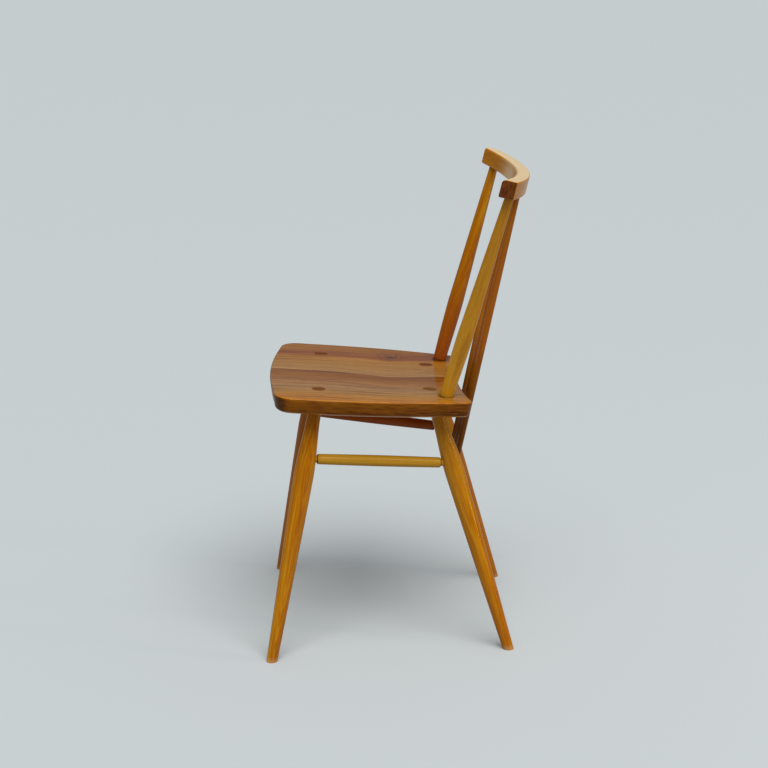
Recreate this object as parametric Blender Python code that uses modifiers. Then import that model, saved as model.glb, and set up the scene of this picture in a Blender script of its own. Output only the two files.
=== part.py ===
"""A stick-back dining chair: one wooden seat, turned legs, stretchers and sticks, a bent top rail.

Lengths are in metres and +Z is up. The sitter faces -Y, and left and right are as seen from
the front. Heights are measured from the floor and depths from a datum line across the seat,
between the front and rear legs. The origin ends up on the floor, in the middle of the chair's
footprint.
"""

import math

import bmesh
import bpy
from mathutils import Matrix, Vector

# Play left round every glued fit
FIT_GAP = 0.0003

# Seat
SEAT_HEIGHT = 0.4284
SEAT_TILT = math.radians(3.5)
SEAT_THICKNESS = 0.027
SEAT_FRONT = 0.1895
SEAT_FRONT_BOW = 0.0105
SEAT_FRONT_HALF_WIDTH = 0.1900
SEAT_FRONT_CORNER_REACH = 0.046
SEAT_SIDE_BOW = 0.0085
SEAT_REAR_HALF_WIDTH = 0.1530
SEAT_REAR = 0.1425
SEAT_REAR_CORNER_REACH = 0.014
SEAT_EAR_HALF_WIDTH = 0.1180
SEAT_RECESS = 0.0165
SEAT_UNDERCUT = 0.005
SEAT_TOP_ROUND = 0.0035
SEAT_BOTTOM_ROUND = 0.007

# Legs
FRONT_FOOT_HALF_SPREAD = 0.2105
FRONT_FOOT_Y = -0.1845
FRONT_TENON_HALF_SPREAD = 0.1163
FRONT_TENON_Y = -0.1059
REAR_FOOT_HALF_SPREAD = 0.1655
REAR_FOOT_Y = 0.2056
REAR_TENON_HALF_SPREAD = 0.0798
REAR_TENON_Y = 0.0762
LEG_FOOT_DIAMETER = 0.0178
LEG_SWELL_DIAMETER = 0.0328
LEG_SWELL_AT = 0.68
LEG_TAPER_POWER = 1.08
LEG_TENON_DIAMETER = 0.022
LEG_NECK_LENGTH = 0.012

# Wedges that spread the leg tenons
WEDGE_DEPTH = 0.019
WEDGE_THICKNESS = 0.003
WEDGE_TIP_THICKNESS = 0.0012
WEDGE_EDGE_INSET = 0.001

# Side stretchers
SIDE_STRETCHER_FRONT_HEIGHT = 0.3238
SIDE_STRETCHER_REAR_HEIGHT = 0.3040
SIDE_STRETCHER_DIAMETER = 0.0184
SIDE_STRETCHER_END_DIAMETER = 0.0170
STRETCHER_TENON_DIAMETER = 0.0115
STRETCHER_SHOULDER = 0.003
STRETCHER_STOP = 0.0035

# Rear stretcher, which also holds the feet of the inner sticks
REAR_STRETCHER_HEIGHT = 0.2795
REAR_STRETCHER_DIAMETER = 0.0185
REAR_STRETCHER_END_DIAMETER = 0.0165

# Outer sticks
OUTER_STICK_SEAT_HALF_SPREAD = 0.1188
OUTER_STICK_SEAT_Y = 0.1010
OUTER_STICK_RAIL_HALF_SPREAD = 0.1600
OUTER_STICK_FOOT_DIAMETER = 0.0217
OUTER_STICK_SWELL_DIAMETER = 0.0262
OUTER_STICK_SWELL_AT = 0.31
OUTER_STICK_TOP_DIAMETER = 0.0142
OUTER_STICK_SEAT_DEPTH = 0.020

# Inner sticks
INNER_STICK_COUNT = 3
INNER_STICK_FOOT_PITCH = 0.0460
INNER_STICK_RAIL_PITCH = 0.0580
INNER_STICK_DIAMETER = 0.0112
INNER_STICK_END_DIAMETER = 0.0104
INNER_STICK_STOP = 0.002

# Top rail, bent in plan and leaning back with the sticks
RAIL_LEAN = math.radians(13.5)
RAIL_FRONT_RADIUS = 0.4821
RAIL_THICKNESS = 0.0232
RAIL_HEIGHT = 0.0288
RAIL_HALF_LENGTH = 0.1855
RAIL_BACK_Y = 0.2396
RAIL_BACK_TOP = 0.7725
RAIL_EDGE_ROUND = 0.0022
STICK_RAIL_DEPTH = 0.018
STICK_RAIL_FORWARD = 0.0012

# Facets
LEG_FACETS = 24
STICK_FACETS = 18
HOLE_FACETS = 24
ARC_FACETS = 24
CORNER_FACETS = 8
ROUND_FACETS = 3
STATION_PITCH = 0.030

# How far a piece or a cutter runs past a face that trims it
TRIM_ALLOWANCE = 0.020
SHARP_ANGLE = math.radians(32)
WELD_DISTANCE = 0.00001

BEECH = ("beech", (0.42, 0.16, 0.018, 1.0), 0.26)
BEECH_WEDGE = ("beech_wedge", (0.23, 0.075, 0.012, 1.0), 0.34)
ELM = ("elm", (0.30, 0.125, 0.040, 1.0), 0.24)


def clear_scene():
    """Remove whatever the file opened with."""
    for item in list(bpy.data.objects):
        bpy.data.objects.remove(item, do_unlink=True)


def make_collection(name):
    """Add a collection to the scene."""
    collection = bpy.data.collections.new(name)
    bpy.context.scene.collection.children.link(collection)
    return collection


def make_material(node_name, finish):
    """Give one piece its own Principled material."""
    kind, colour, roughness = finish
    material = bpy.data.materials.new(f"{node_name}_{kind}")
    material.use_nodes = True
    shader = material.node_tree.nodes["Principled BSDF"]
    shader.inputs["Base Color"].default_value = colour
    shader.inputs["Roughness"].default_value = roughness
    shader.inputs["Metallic"].default_value = 0.0
    return material


def mix(first, second, share):
    """Blend two numbers or vectors."""
    return first + (second - first) * share


def seat_top(x, y):
    """Point of the seat's top plane above a place in plan."""
    return Vector((x, y, SEAT_HEIGHT - y * math.tan(SEAT_TILT)))


def at_height(low, high, height):
    """Point of the line through two points at a height."""
    share = (height - low.z) / (high.z - low.z)
    return mix(low, high, share)


def axis_frame(start, end):
    """Placement of a turned piece: its local Z runs from start to end, its local X stays level."""
    along = (end - start).normalized()
    side = Vector((0.0, 1.0, 0.0)).cross(along).normalized()
    front = along.cross(side)
    rotation = Matrix((side, front, along)).transposed().to_4x4()
    return Matrix.Translation(start) @ rotation


class Chair:
    """Holds the collections, the datum empty and the trimming cutters."""

    def __init__(self):
        self.parts = make_collection("stick_back_chair")
        self.cutters = make_collection("cutters")
        self.datum = bpy.data.objects.new("chair_datum", None)
        self.parts.objects.link(self.datum)

    def place(self, item, matrix):
        """Parent an object to the datum and set its place there."""
        item.parent = self.datum
        item.matrix_local = matrix

    def add_part(self, name, mesh, matrix, finish):
        """Add one piece of the chair."""
        item = bpy.data.objects.new(name, mesh)
        self.parts.objects.link(item)
        self.place(item, matrix)
        mesh.materials.append(make_material(name, finish))
        return item

    def add_cutter(self, name, mesh, matrix):
        """Add a shape that only cuts others."""
        item = bpy.data.objects.new(name, mesh)
        self.cutters.objects.link(item)
        self.place(item, matrix)
        item.hide_render = True
        item.display_type = "WIRE"
        return item

    def cut(self, item, cutter):
        """Take a cutter out of a piece."""
        modifier = item.modifiers.new(cutter.name, "BOOLEAN")
        modifier.operation = "DIFFERENCE"
        modifier.solver = "EXACT"
        modifier.object = cutter

    def bore(self, item, name, start, end, diameter):
        """Drill a round hole of a fit's diameter from one point to another."""
        mesh = bpy.data.meshes.new(name)
        shape = bmesh.new()
        length = (end - start).length
        bmesh.ops.create_cone(
            shape,
            cap_ends=True,
            segments=HOLE_FACETS,
            radius1=diameter / 2 + FIT_GAP,
            radius2=diameter / 2 + FIT_GAP,
            depth=length,
            matrix=Matrix.Translation((0.0, 0.0, length / 2)),
        )
        shape.to_mesh(mesh)
        shape.free()
        self.cut(item, self.add_cutter(name, mesh, axis_frame(start, end)))

    def add_block(self, name, size, centre, matrix):
        """Add a box-shaped cutter."""
        mesh = bpy.data.meshes.new(name)
        shape = bmesh.new()
        bmesh.ops.create_cube(shape, size=1.0, matrix=Matrix.Diagonal((*size, 1.0)))
        bmesh.ops.translate(shape, vec=centre, verts=shape.verts)
        shape.to_mesh(mesh)
        shape.free()
        return self.add_cutter(name, mesh, matrix)


def turned_mesh(name, stations):
    """Profile of a turned piece, from stations of (distance along, diameter), bottom to top."""
    mesh = bpy.data.meshes.new(name)
    shape = bmesh.new()
    bottom = stations[0][0]
    top = stations[-1][0]
    outline = [(0.0, top)]
    outline += [(diameter / 2, distance) for distance, diameter in reversed(stations)]
    outline.append((0.0, bottom))
    corners = [shape.verts.new((radius, 0.0, distance)) for radius, distance in outline]
    for upper, lower in zip(corners, corners[1:]):
        shape.edges.new((upper, lower))
    shape.to_mesh(mesh)
    shape.free()
    return mesh


def spin(item, facets):
    """Turn a profile about its local Z."""
    modifier = item.modifiers.new("turning", "SCREW")
    modifier.axis = "Z"
    modifier.steps = facets
    modifier.render_steps = facets
    modifier.use_merge_vertices = True
    modifier.merge_threshold = WELD_DISTANCE
    modifier.use_smooth_shade = True


def spread(start, end):
    """Shares from start to end that divide a length at about the station pitch."""
    count = max(2, math.ceil((end - start) / STATION_PITCH))
    return [mix(start, end, step / count) for step in range(count + 1)]


class Leg:
    """Line and turned profile of one leg, from its foot on the floor to the seat's top."""

    def __init__(self, foot, tenon):
        self.foot = foot
        self.tenon = tenon
        self.length = (tenon - foot).length
        self.along = (tenon - foot).normalized()
        self.seat_fall = SEAT_THICKNESS / self.along.z
        self.swell = self.length * LEG_SWELL_AT
        self.neck_start = self.length - self.seat_fall - LEG_NECK_LENGTH

    def diameter(self, distance):
        """A long taper up to the swell, then a quicker one to the tenon."""
        if distance <= self.swell:
            share = 1 - (1 - max(0.0, distance / self.swell)) ** LEG_TAPER_POWER
            return mix(LEG_FOOT_DIAMETER, LEG_SWELL_DIAMETER, share)
        share = min(1.0, (distance - self.swell) / (self.neck_start - self.swell))
        ease = (1 - math.cos(math.pi * share)) / 2
        return mix(LEG_SWELL_DIAMETER, LEG_TENON_DIAMETER, ease)

    def stations(self):
        """Profile with a little to spare at both ends, for the trimming cuts."""
        distances = [-TRIM_ALLOWANCE]
        distances += spread(0.0, self.swell)
        distances += spread(self.swell, self.neck_start)[1:]
        distances.append(self.length + TRIM_ALLOWANCE)
        return [(distance, self.diameter(distance)) for distance in distances]

    def reach_out(self, point, rod_along, rod_diameter):
        """Length of a rod's tenon, from the leg's axis until the rod's shoulder is clear."""
        lean = abs(self.along.dot(rod_along))
        level = (point - self.foot).length
        radius = rod_diameter / 2
        thickest = max(self.diameter(level - radius), self.diameter(level + radius))
        return (thickest / 2 + radius * lean) / math.sqrt(1 - lean ** 2) + FIT_GAP


def outer_stick_stations(seat_end, rail_start, rail_end):
    """Outer stick: thick low down, drawn in at the seat, with a long taper to the rail."""
    swell = mix(seat_end, rail_start, OUTER_STICK_SWELL_AT)
    stations = [(0.0, OUTER_STICK_FOOT_DIAMETER)]
    for distance in spread(seat_end, swell):
        share = (distance - seat_end) / (swell - seat_end)
        ease = math.sin(share * math.pi / 2)
        stations.append((distance, mix(OUTER_STICK_FOOT_DIAMETER, OUTER_STICK_SWELL_DIAMETER, ease)))
    for distance in spread(swell, rail_start)[1:]:
        share = (distance - swell) / (rail_start - swell)
        stations.append((distance, mix(OUTER_STICK_SWELL_DIAMETER, OUTER_STICK_TOP_DIAMETER, share)))
    stations.append((rail_end, OUTER_STICK_TOP_DIAMETER))
    return stations


def bulged_stations(start, end, end_diameter, middle_diameter):
    """Slender stretch that is a little thicker half way along."""
    stations = []
    for distance in spread(start, end):
        ease = math.sin(math.pi * (distance - start) / (end - start))
        stations.append((distance, mix(end_diameter, middle_diameter, ease)))
    return stations


def inner_stick_stations(foot_end, rail_start, rail_end):
    """Inner stick: straight in its two holes and a little thicker half way between them."""
    ends = (INNER_STICK_END_DIAMETER, INNER_STICK_DIAMETER)
    between = bulged_stations(foot_end, rail_start, *ends)
    return [(0.0, INNER_STICK_END_DIAMETER)] + between + [(rail_end, INNER_STICK_END_DIAMETER)]


def stretcher_stations(length, tenons, end_diameter, middle_diameter):
    """Stretcher with a round tenon at each end and soft shoulders."""
    ends = []
    for tenon in tenons:
        side = [(0.0, STRETCHER_TENON_DIAMETER), (tenon, STRETCHER_TENON_DIAMETER)]
        for step in range(1, ROUND_FACETS + 1):
            angle = step / ROUND_FACETS * math.pi / 2
            rise = STRETCHER_SHOULDER * (1 - math.cos(angle))
            side.append((tenon + rise, mix(STRETCHER_TENON_DIAMETER, end_diameter, math.sin(angle))))
        ends.append(side)
    near, far = ends
    body = bulged_stations(near[-1][0], length - far[-1][0], end_diameter, middle_diameter)
    return near + body[1:-1] + [(length - distance, diameter) for distance, diameter in reversed(far)]


def corner_points(before, corner, after, reach):
    """Soft corner: a curve that leaves one side and joins the next, reach away from the corner."""
    start = corner + (before - corner).normalized() * reach
    end = corner + (after - corner).normalized() * reach
    points = []
    for step in range(CORNER_FACETS + 1):
        share = step / CORNER_FACETS
        points.append(mix(mix(start, corner, share), mix(corner, end, share), share))
    return points


def bowed_points(start, end, bow):
    """Points between two ends of a side that is bowed outwards to its right."""
    run = end - start
    right = Vector((run.y, -run.x)).normalized()
    count = max(3, math.ceil(run.length / STATION_PITCH))
    points = []
    for step in range(1, count):
        share = step / count
        points.append(start + run * share + right * bow * 4 * share * (1 - share))
    return points


def seat_outline():
    """Plan of the seat, anticlockwise from the middle of its front edge."""
    front_corner = Vector((SEAT_FRONT_HALF_WIDTH, SEAT_FRONT_BOW - SEAT_FRONT))
    rear_corner = Vector((SEAT_REAR_HALF_WIDTH, SEAT_REAR))
    ear = Vector((SEAT_EAR_HALF_WIDTH, SEAT_REAR))
    front_middle = Vector((0.0, -SEAT_FRONT))
    front_aim = front_corner - Vector((SEAT_FRONT_HALF_WIDTH, 0.0))
    front_soft = corner_points(front_aim, front_corner, rear_corner, SEAT_FRONT_CORNER_REACH)
    rear_soft = corner_points(front_corner, rear_corner, ear, SEAT_REAR_CORNER_REACH)
    half = [front_middle]
    count = math.ceil(SEAT_FRONT_HALF_WIDTH / STATION_PITCH)
    for step in range(1, count):
        share = step / count
        x = front_soft[0].x * share
        rise = (front_soft[0].y + SEAT_FRONT) * share ** 2
        half.append(Vector((x, -SEAT_FRONT + rise)))
    half += front_soft
    half += bowed_points(front_soft[-1], rear_soft[0], SEAT_SIDE_BOW)
    half += rear_soft
    steps = ARC_FACETS // 2
    for step in range(1, steps + 1):
        share = 1 - step / steps
        x = mix(0.0, rear_soft[-1].x, share)
        dip = SEAT_RECESS * (1 - share ** 2)
        half.append(Vector((x, SEAT_REAR - dip)))
    mirrored = [Vector((-point.x, point.y)) for point in reversed(half[1:-1])]
    return half + mirrored


def outline_curve(name, points, thickness):
    """Solid plate from a closed outline, centred on its own plane."""
    curve = bpy.data.curves.new(name, "CURVE")
    curve.dimensions = "2D"
    curve.fill_mode = "BOTH"
    curve.extrude = thickness / 2
    spline = curve.splines.new("POLY")
    spline.points.add(len(points) - 1)
    for target, point in zip(spline.points, points):
        target.co = (point.x, point.y, 0.0, 1.0)
    spline.use_cyclic_u = True
    item = bpy.data.objects.new(name, curve)
    bpy.context.scene.collection.objects.link(item)
    bpy.context.view_layer.update()
    evaluated = item.evaluated_get(bpy.context.evaluated_depsgraph_get())
    mesh = bpy.data.meshes.new_from_object(evaluated)
    bpy.data.objects.remove(item, do_unlink=True)
    bpy.data.curves.remove(curve)
    return mesh


def tidy_plate(mesh, edit):
    """Weld a plate, make its two flat sides one face each, and hand it to an edit."""
    shape = bmesh.new()
    shape.from_mesh(mesh)
    bmesh.ops.remove_doubles(shape, verts=shape.verts, dist=WELD_DISTANCE)
    for side in (1.0, -1.0):
        flat = [face for face in shape.faces if face.normal.z * side > math.cos(SHARP_ANGLE)]
        bmesh.ops.dissolve_faces(shape, faces=flat)
    edit(shape)
    bmesh.ops.recalc_face_normals(shape, faces=shape.faces)
    shape.to_mesh(mesh)
    shape.free()


def rim_edges(shape, side):
    """Edges round the flat side that faces up (1) or down (-1)."""
    flat = max(shape.faces, key=lambda face: face.normal.z * side)
    return list(flat.edges)


def round_edges(shape, edges, radius):
    """Round edges over with a fixed number of facets."""
    bmesh.ops.bevel(
        shape,
        geom=edges,
        offset=radius,
        offset_type="OFFSET",
        segments=ROUND_FACETS,
        profile=0.5,
        affect="EDGES",
        clamp_overlap=True,
    )


def shape_seat(shape):
    """Undercut the seat's walls and round its two rims.

    The lower face points down, so its corners run clockwise seen from above and the seat's
    inside is always to their right.
    """
    under = max(shape.faces, key=lambda face: -face.normal.z)
    loop = [corner.vert for corner in under.loops]
    moves = []
    for index, vert in enumerate(loop):
        run = (loop[(index + 1) % len(loop)].co - loop[index - 1].co).normalized()
        moves.append(Vector((run.y, -run.x, 0.0)) * SEAT_UNDERCUT)
    for vert, move in zip(loop, moves):
        vert.co += move
    round_edges(shape, rim_edges(shape, -1.0), SEAT_BOTTOM_ROUND)
    round_edges(shape, rim_edges(shape, 1.0), SEAT_TOP_ROUND)


def smooth(item):
    """Smooth shading with the sharp edges kept."""
    item.data.shade_smooth()
    item.data.set_sharp_from_angle(angle=SHARP_ANGLE)


def build_seat(chair):
    """One-piece wooden seat, tilted back."""
    mesh = outline_curve("seat", seat_outline(), SEAT_THICKNESS)
    tidy_plate(mesh, shape_seat)
    tilt = Matrix.Rotation(-SEAT_TILT, 4, "X")
    top = Matrix.Translation((0.0, 0.0, SEAT_HEIGHT))
    sink = Matrix.Translation((0.0, 0.0, -SEAT_THICKNESS / 2))
    item = chair.add_part("seat", mesh, top @ tilt @ sink, ELM)
    smooth(item)
    return item


def build_leg(chair, name, leg, seat, trims):
    """Turned leg, glued through the seat and sawn flat to the floor."""
    mesh = turned_mesh(name, leg.stations())
    item = chair.add_part(name, mesh, axis_frame(leg.foot, leg.tenon), BEECH)
    spin(item, LEG_FACETS)
    for trim in trims:
        chair.cut(item, trim)
    low = leg.tenon - leg.along * (leg.seat_fall + TRIM_ALLOWANCE)
    high = leg.tenon + leg.along * TRIM_ALLOWANCE
    chair.bore(seat, f"{name}_seat_hole", low, high, LEG_TENON_DIAMETER)
    return item


def wedge_mesh(name, breadth, clearance):
    """Tapered wedge that points down, with its driven end above the tenon."""
    mesh = bpy.data.meshes.new(name)
    shape = bmesh.new()
    bmesh.ops.create_cube(shape, size=1.0)
    slope = (WEDGE_THICKNESS - WEDGE_TIP_THICKNESS) / WEDGE_DEPTH
    for vert in shape.verts:
        level = TRIM_ALLOWANCE if vert.co.z > 0 else -WEDGE_DEPTH - clearance
        vert.co.x *= WEDGE_THICKNESS + slope * level + 2 * clearance
        vert.co.y *= breadth
        vert.co.z = level
    shape.to_mesh(mesh)
    shape.free()
    return mesh


def build_wedge(chair, name, leg, leg_item, trim):
    """Hardwood wedge in a saw cut that runs right across the leg's tenon."""
    place = axis_frame(leg.foot, leg.tenon) @ Matrix.Translation((0.0, 0.0, leg.length))
    breadth = LEG_TENON_DIAMETER - 2 * WEDGE_EDGE_INSET
    item = chair.add_part(name, wedge_mesh(name, breadth, 0.0), place, BEECH_WEDGE)
    chair.cut(item, trim)
    kerf = wedge_mesh(f"{name}_kerf", LEG_TENON_DIAMETER + TRIM_ALLOWANCE, FIT_GAP)
    chair.cut(leg_item, chair.add_cutter(f"{name}_kerf", kerf, place))


def build_stretcher(chair, name, height, ends, diameters):
    """Stretcher between the axes of two legs, with a blind hole in each of them."""
    end_diameter, middle_diameter = diameters
    points = [at_height(leg.foot, leg.tenon, level) for (leg, _), level in zip(ends, height)]
    start, end = points
    along = (end - start).normalized()
    tenons = []
    for (leg, leg_item), point, aim in zip(ends, points, (along, -along)):
        clear = leg.reach_out(point, along, STRETCHER_TENON_DIAMETER)
        tenons.append(clear - STRETCHER_STOP)
        hole_start = point + aim * (STRETCHER_STOP - FIT_GAP)
        hole_end = point + aim * (clear + TRIM_ALLOWANCE)
        hole = f"{name}_hole_in_{leg_item.name}"
        chair.bore(leg_item, hole, hole_start, hole_end, STRETCHER_TENON_DIAMETER)
    tip = start + along * STRETCHER_STOP
    far_tip = end - along * STRETCHER_STOP
    length = (far_tip - tip).length
    mesh = turned_mesh(name, stretcher_stations(length, tenons, end_diameter, middle_diameter))
    item = chair.add_part(name, mesh, axis_frame(tip, far_tip), BEECH)
    spin(item, STICK_FACETS)
    return item


def rail_frame():
    """Placement of the top rail: origin at the middle of its back, on its top face."""
    lean = Matrix.Rotation(-RAIL_LEAN, 4, "X")
    return Matrix.Translation((0.0, RAIL_BACK_Y, RAIL_BACK_TOP)) @ lean


def rail_outline():
    """Plan of the top rail: two arcs about one centre, with ends square to the chair."""
    back_radius = RAIL_FRONT_RADIUS + RAIL_THICKNESS
    points = []
    for radius, turn in ((back_radius, 1), (RAIL_FRONT_RADIUS, -1)):
        reach = math.asin(RAIL_HALF_LENGTH / radius)
        for step in range(ARC_FACETS + 1):
            angle = turn * reach * (2 * step / ARC_FACETS - 1)
            x = radius * math.sin(angle)
            y = radius * math.cos(angle) - back_radius
            points.append(Vector((x, y)))
    return points


def rail_under(x):
    """Point under the rail where a stick at x goes in, a little forward of its middle line."""
    radius = RAIL_FRONT_RADIUS + RAIL_THICKNESS / 2 - STICK_RAIL_FORWARD
    back_radius = RAIL_FRONT_RADIUS + RAIL_THICKNESS
    y = math.sqrt(radius ** 2 - x ** 2) - back_radius
    return rail_frame() @ Vector((x, y, -RAIL_HEIGHT))


def shape_rail(shape):
    """Round every long edge and every end edge of the rail."""
    edges = [edge for edge in shape.edges if edge.calc_face_angle(0.0) > SHARP_ANGLE]
    round_edges(shape, edges, RAIL_EDGE_ROUND)


def build_rail(chair):
    """Bent top rail."""
    mesh = outline_curve("top_rail", rail_outline(), RAIL_HEIGHT)
    tidy_plate(mesh, shape_rail)
    sink = Matrix.Translation((0.0, 0.0, -RAIL_HEIGHT / 2))
    item = chair.add_part("top_rail", mesh, rail_frame() @ sink, BEECH)
    smooth(item)
    return item


def build_outer_stick(chair, name, side, seat, rail):
    """Thick outer stick from a blind hole in the seat to a blind hole in the rail."""
    base = seat_top(side * OUTER_STICK_SEAT_HALF_SPREAD, OUTER_STICK_SEAT_Y)
    under = rail_under(side * OUTER_STICK_RAIL_HALF_SPREAD)
    along = (under - base).normalized()
    start = base - along * OUTER_STICK_SEAT_DEPTH
    end = under + along * STICK_RAIL_DEPTH
    length = (end - start).length
    stations = outer_stick_stations(OUTER_STICK_SEAT_DEPTH, length - STICK_RAIL_DEPTH, length)
    item = chair.add_part(name, turned_mesh(name, stations), axis_frame(start, end), BEECH)
    spin(item, STICK_FACETS)
    seat_hole = (start - along * FIT_GAP, base + along * TRIM_ALLOWANCE)
    rail_hole = (end + along * FIT_GAP, under - along * TRIM_ALLOWANCE)
    chair.bore(seat, f"{name}_seat_hole", *seat_hole, OUTER_STICK_FOOT_DIAMETER)
    chair.bore(rail, f"{name}_rail_hole", *rail_hole, OUTER_STICK_TOP_DIAMETER)


def build_inner_stick(chair, name, place, stretcher_y, stretcher, rail):
    """Slender stick that passes behind the seat, from the rear stretcher up to the rail."""
    foot = Vector((place * INNER_STICK_FOOT_PITCH, stretcher_y, REAR_STRETCHER_HEIGHT))
    under = rail_under(place * INNER_STICK_RAIL_PITCH)
    along = (under - foot).normalized()
    start = foot + along * INNER_STICK_STOP
    end = under + along * STICK_RAIL_DEPTH
    length = (end - start).length
    foot_end = REAR_STRETCHER_DIAMETER / 2
    stations = inner_stick_stations(foot_end, length - STICK_RAIL_DEPTH, length)
    item = chair.add_part(name, turned_mesh(name, stations), axis_frame(start, end), BEECH)
    spin(item, STICK_FACETS)
    foot_hole = (start - along * FIT_GAP, foot + along * (foot_end + TRIM_ALLOWANCE))
    rail_hole = (end + along * FIT_GAP, under - along * TRIM_ALLOWANCE)
    chair.bore(stretcher, f"{name}_foot_hole", *foot_hole, INNER_STICK_END_DIAMETER)
    chair.bore(rail, f"{name}_rail_hole", *rail_hole, INNER_STICK_END_DIAMETER)


def build_chair():
    """Build every piece and set the origin in the middle of the footprint."""
    clear_scene()
    chair = Chair()
    seat = build_seat(chair)
    rail = build_rail(chair)
    tilt = Matrix.Translation((0.0, 0.0, SEAT_HEIGHT)) @ Matrix.Rotation(-SEAT_TILT, 4, "X")
    depth = 2 * TRIM_ALLOWANCE + LEG_SWELL_DIAMETER
    breadth = 2 * (FRONT_FOOT_HALF_SPREAD + REAR_FOOT_Y)
    slab = (breadth, breadth, depth)
    above_seat = chair.add_block("above_seat", slab, (0.0, 0.0, depth / 2), tilt)
    floor = chair.add_block("below_floor", slab, (0.0, 0.0, -depth / 2), Matrix.Identity(4))
    rows = (
        ("front", FRONT_FOOT_HALF_SPREAD, FRONT_FOOT_Y, FRONT_TENON_HALF_SPREAD, FRONT_TENON_Y),
        ("rear", REAR_FOOT_HALF_SPREAD, REAR_FOOT_Y, REAR_TENON_HALF_SPREAD, REAR_TENON_Y),
    )
    legs = {}
    for row, foot_spread, foot_y, tenon_spread, tenon_y in rows:
        for hand, side in (("left", -1), ("right", 1)):
            leg = Leg(Vector((side * foot_spread, foot_y, 0.0)), seat_top(side * tenon_spread, tenon_y))
            item = build_leg(chair, f"{row}_leg_{hand}", leg, seat, (above_seat, floor))
            build_wedge(chair, f"{row}_wedge_{hand}", leg, item, above_seat)
            legs[row, hand] = (leg, item)
    side_heights = (SIDE_STRETCHER_FRONT_HEIGHT, SIDE_STRETCHER_REAR_HEIGHT)
    side_sizes = (SIDE_STRETCHER_END_DIAMETER, SIDE_STRETCHER_DIAMETER)
    for hand in ("left", "right"):
        ends = (legs["front", hand], legs["rear", hand])
        build_stretcher(chair, f"side_stretcher_{hand}", side_heights, ends, side_sizes)
    rear_heights = (REAR_STRETCHER_HEIGHT, REAR_STRETCHER_HEIGHT)
    rear_sizes = (REAR_STRETCHER_END_DIAMETER, REAR_STRETCHER_DIAMETER)
    ends = (legs["rear", "left"], legs["rear", "right"])
    stretcher = build_stretcher(chair, "rear_stretcher", rear_heights, ends, rear_sizes)
    rear_leg = ends[0][0]
    stretcher_y = at_height(rear_leg.foot, rear_leg.tenon, REAR_STRETCHER_HEIGHT).y
    for hand, side in (("left", -1), ("right", 1)):
        build_outer_stick(chair, f"outer_stick_{hand}", side, seat, rail)
    for index in range(INNER_STICK_COUNT):
        place = index - (INNER_STICK_COUNT - 1) / 2
        build_inner_stick(chair, f"inner_stick_{index + 1}", place, stretcher_y, stretcher, rail)
    front = FRONT_FOOT_Y - LEG_FOOT_DIAMETER / 2
    chair.datum.location.y = -(front + RAIL_BACK_Y) / 2


build_chair()
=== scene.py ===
import logging
import math
from contextlib import contextmanager
from dataclasses import dataclass, field
from enum import Enum
from typing import Any, Callable, Iterator, Sequence

import bmesh
import bpy
from mathutils import Matrix, Vector


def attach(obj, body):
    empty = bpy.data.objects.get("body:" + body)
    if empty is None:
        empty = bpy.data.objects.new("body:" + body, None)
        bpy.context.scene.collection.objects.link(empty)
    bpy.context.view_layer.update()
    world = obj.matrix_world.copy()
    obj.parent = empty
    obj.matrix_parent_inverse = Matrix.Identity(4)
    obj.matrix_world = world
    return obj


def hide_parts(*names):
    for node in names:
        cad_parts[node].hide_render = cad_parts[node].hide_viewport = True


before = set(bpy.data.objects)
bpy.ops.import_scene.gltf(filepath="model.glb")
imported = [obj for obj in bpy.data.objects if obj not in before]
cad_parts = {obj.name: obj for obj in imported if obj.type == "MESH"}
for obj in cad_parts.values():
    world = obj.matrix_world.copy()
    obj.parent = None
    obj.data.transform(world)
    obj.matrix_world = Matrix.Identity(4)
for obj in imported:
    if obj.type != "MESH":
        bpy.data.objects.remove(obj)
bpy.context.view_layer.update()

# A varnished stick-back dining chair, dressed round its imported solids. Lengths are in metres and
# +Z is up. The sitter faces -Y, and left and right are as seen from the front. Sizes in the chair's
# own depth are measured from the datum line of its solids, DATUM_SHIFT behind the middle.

DATUM_SHIFT = -0.0231
BODY = "root"
TINY = 0.00001
FIT_GAP = 0.0003
LEG_SNUG = 0.0003
HOLE_SIDES = 64
LATHE_SIDES = 48
LATHE_PITCH = 0.0045
JOINT_REACH = 0.0018
END_GRAIN_COSINE = 0.7
FLAT_COSINE = 0.999
LEVEL_COSINE = 0.9999
SMOOTH_ANGLE = math.radians(32)
PLANK_STEPS = (0.731, 0.417, 1.13)
PLANK_SPANS = (1.9, 1.3, 2.7)

Colour = tuple[float, float, float]
ToneAndShade = tuple[float, float]


class Slot(Enum):
    """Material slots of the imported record."""

    ELM = "elm_seat"
    BEECH = "beech_frame"
    WEDGE = "beech_wedge"


class Hand(Enum):
    """Side of the chair, as seen from the front, and its sign along X."""

    LEFT = -1
    RIGHT = 1


class Pick(Enum):
    """Kinds of mesh element that can be selected."""

    VERT = "VERT"
    EDGE = "EDGE"
    FACE = "FACE"


# Tools of the bench


def mix(first: Any, second: Any, share: float) -> Any:
    """Blend two numbers or vectors."""
    return first + (second - first) * share


def srgb(red: int, green: int, blue: int) -> Colour:
    """Turn a display colour into the linear one that shaders use.

    Args:
        red: Red, 0 to 255.
        green: Green, 0 to 255.
        blue: Blue, 0 to 255.

    Returns:
        The linear colour.
    """
    channels = []
    for value in (red, green, blue):
        share = value / 255
        linear = share / 12.92 if share <= 0.04045 else ((share + 0.055) / 1.055) ** 2.4
        channels.append(linear)
    return tuple(channels)


def deselect() -> None:
    """Deselect every object."""
    bpy.ops.object.select_all(action="DESELECT")


def activate(item: bpy.types.Object) -> None:
    """Make one object the only selected and the active one."""
    deselect()
    item.select_set(True)
    bpy.context.view_layer.objects.active = item


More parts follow.
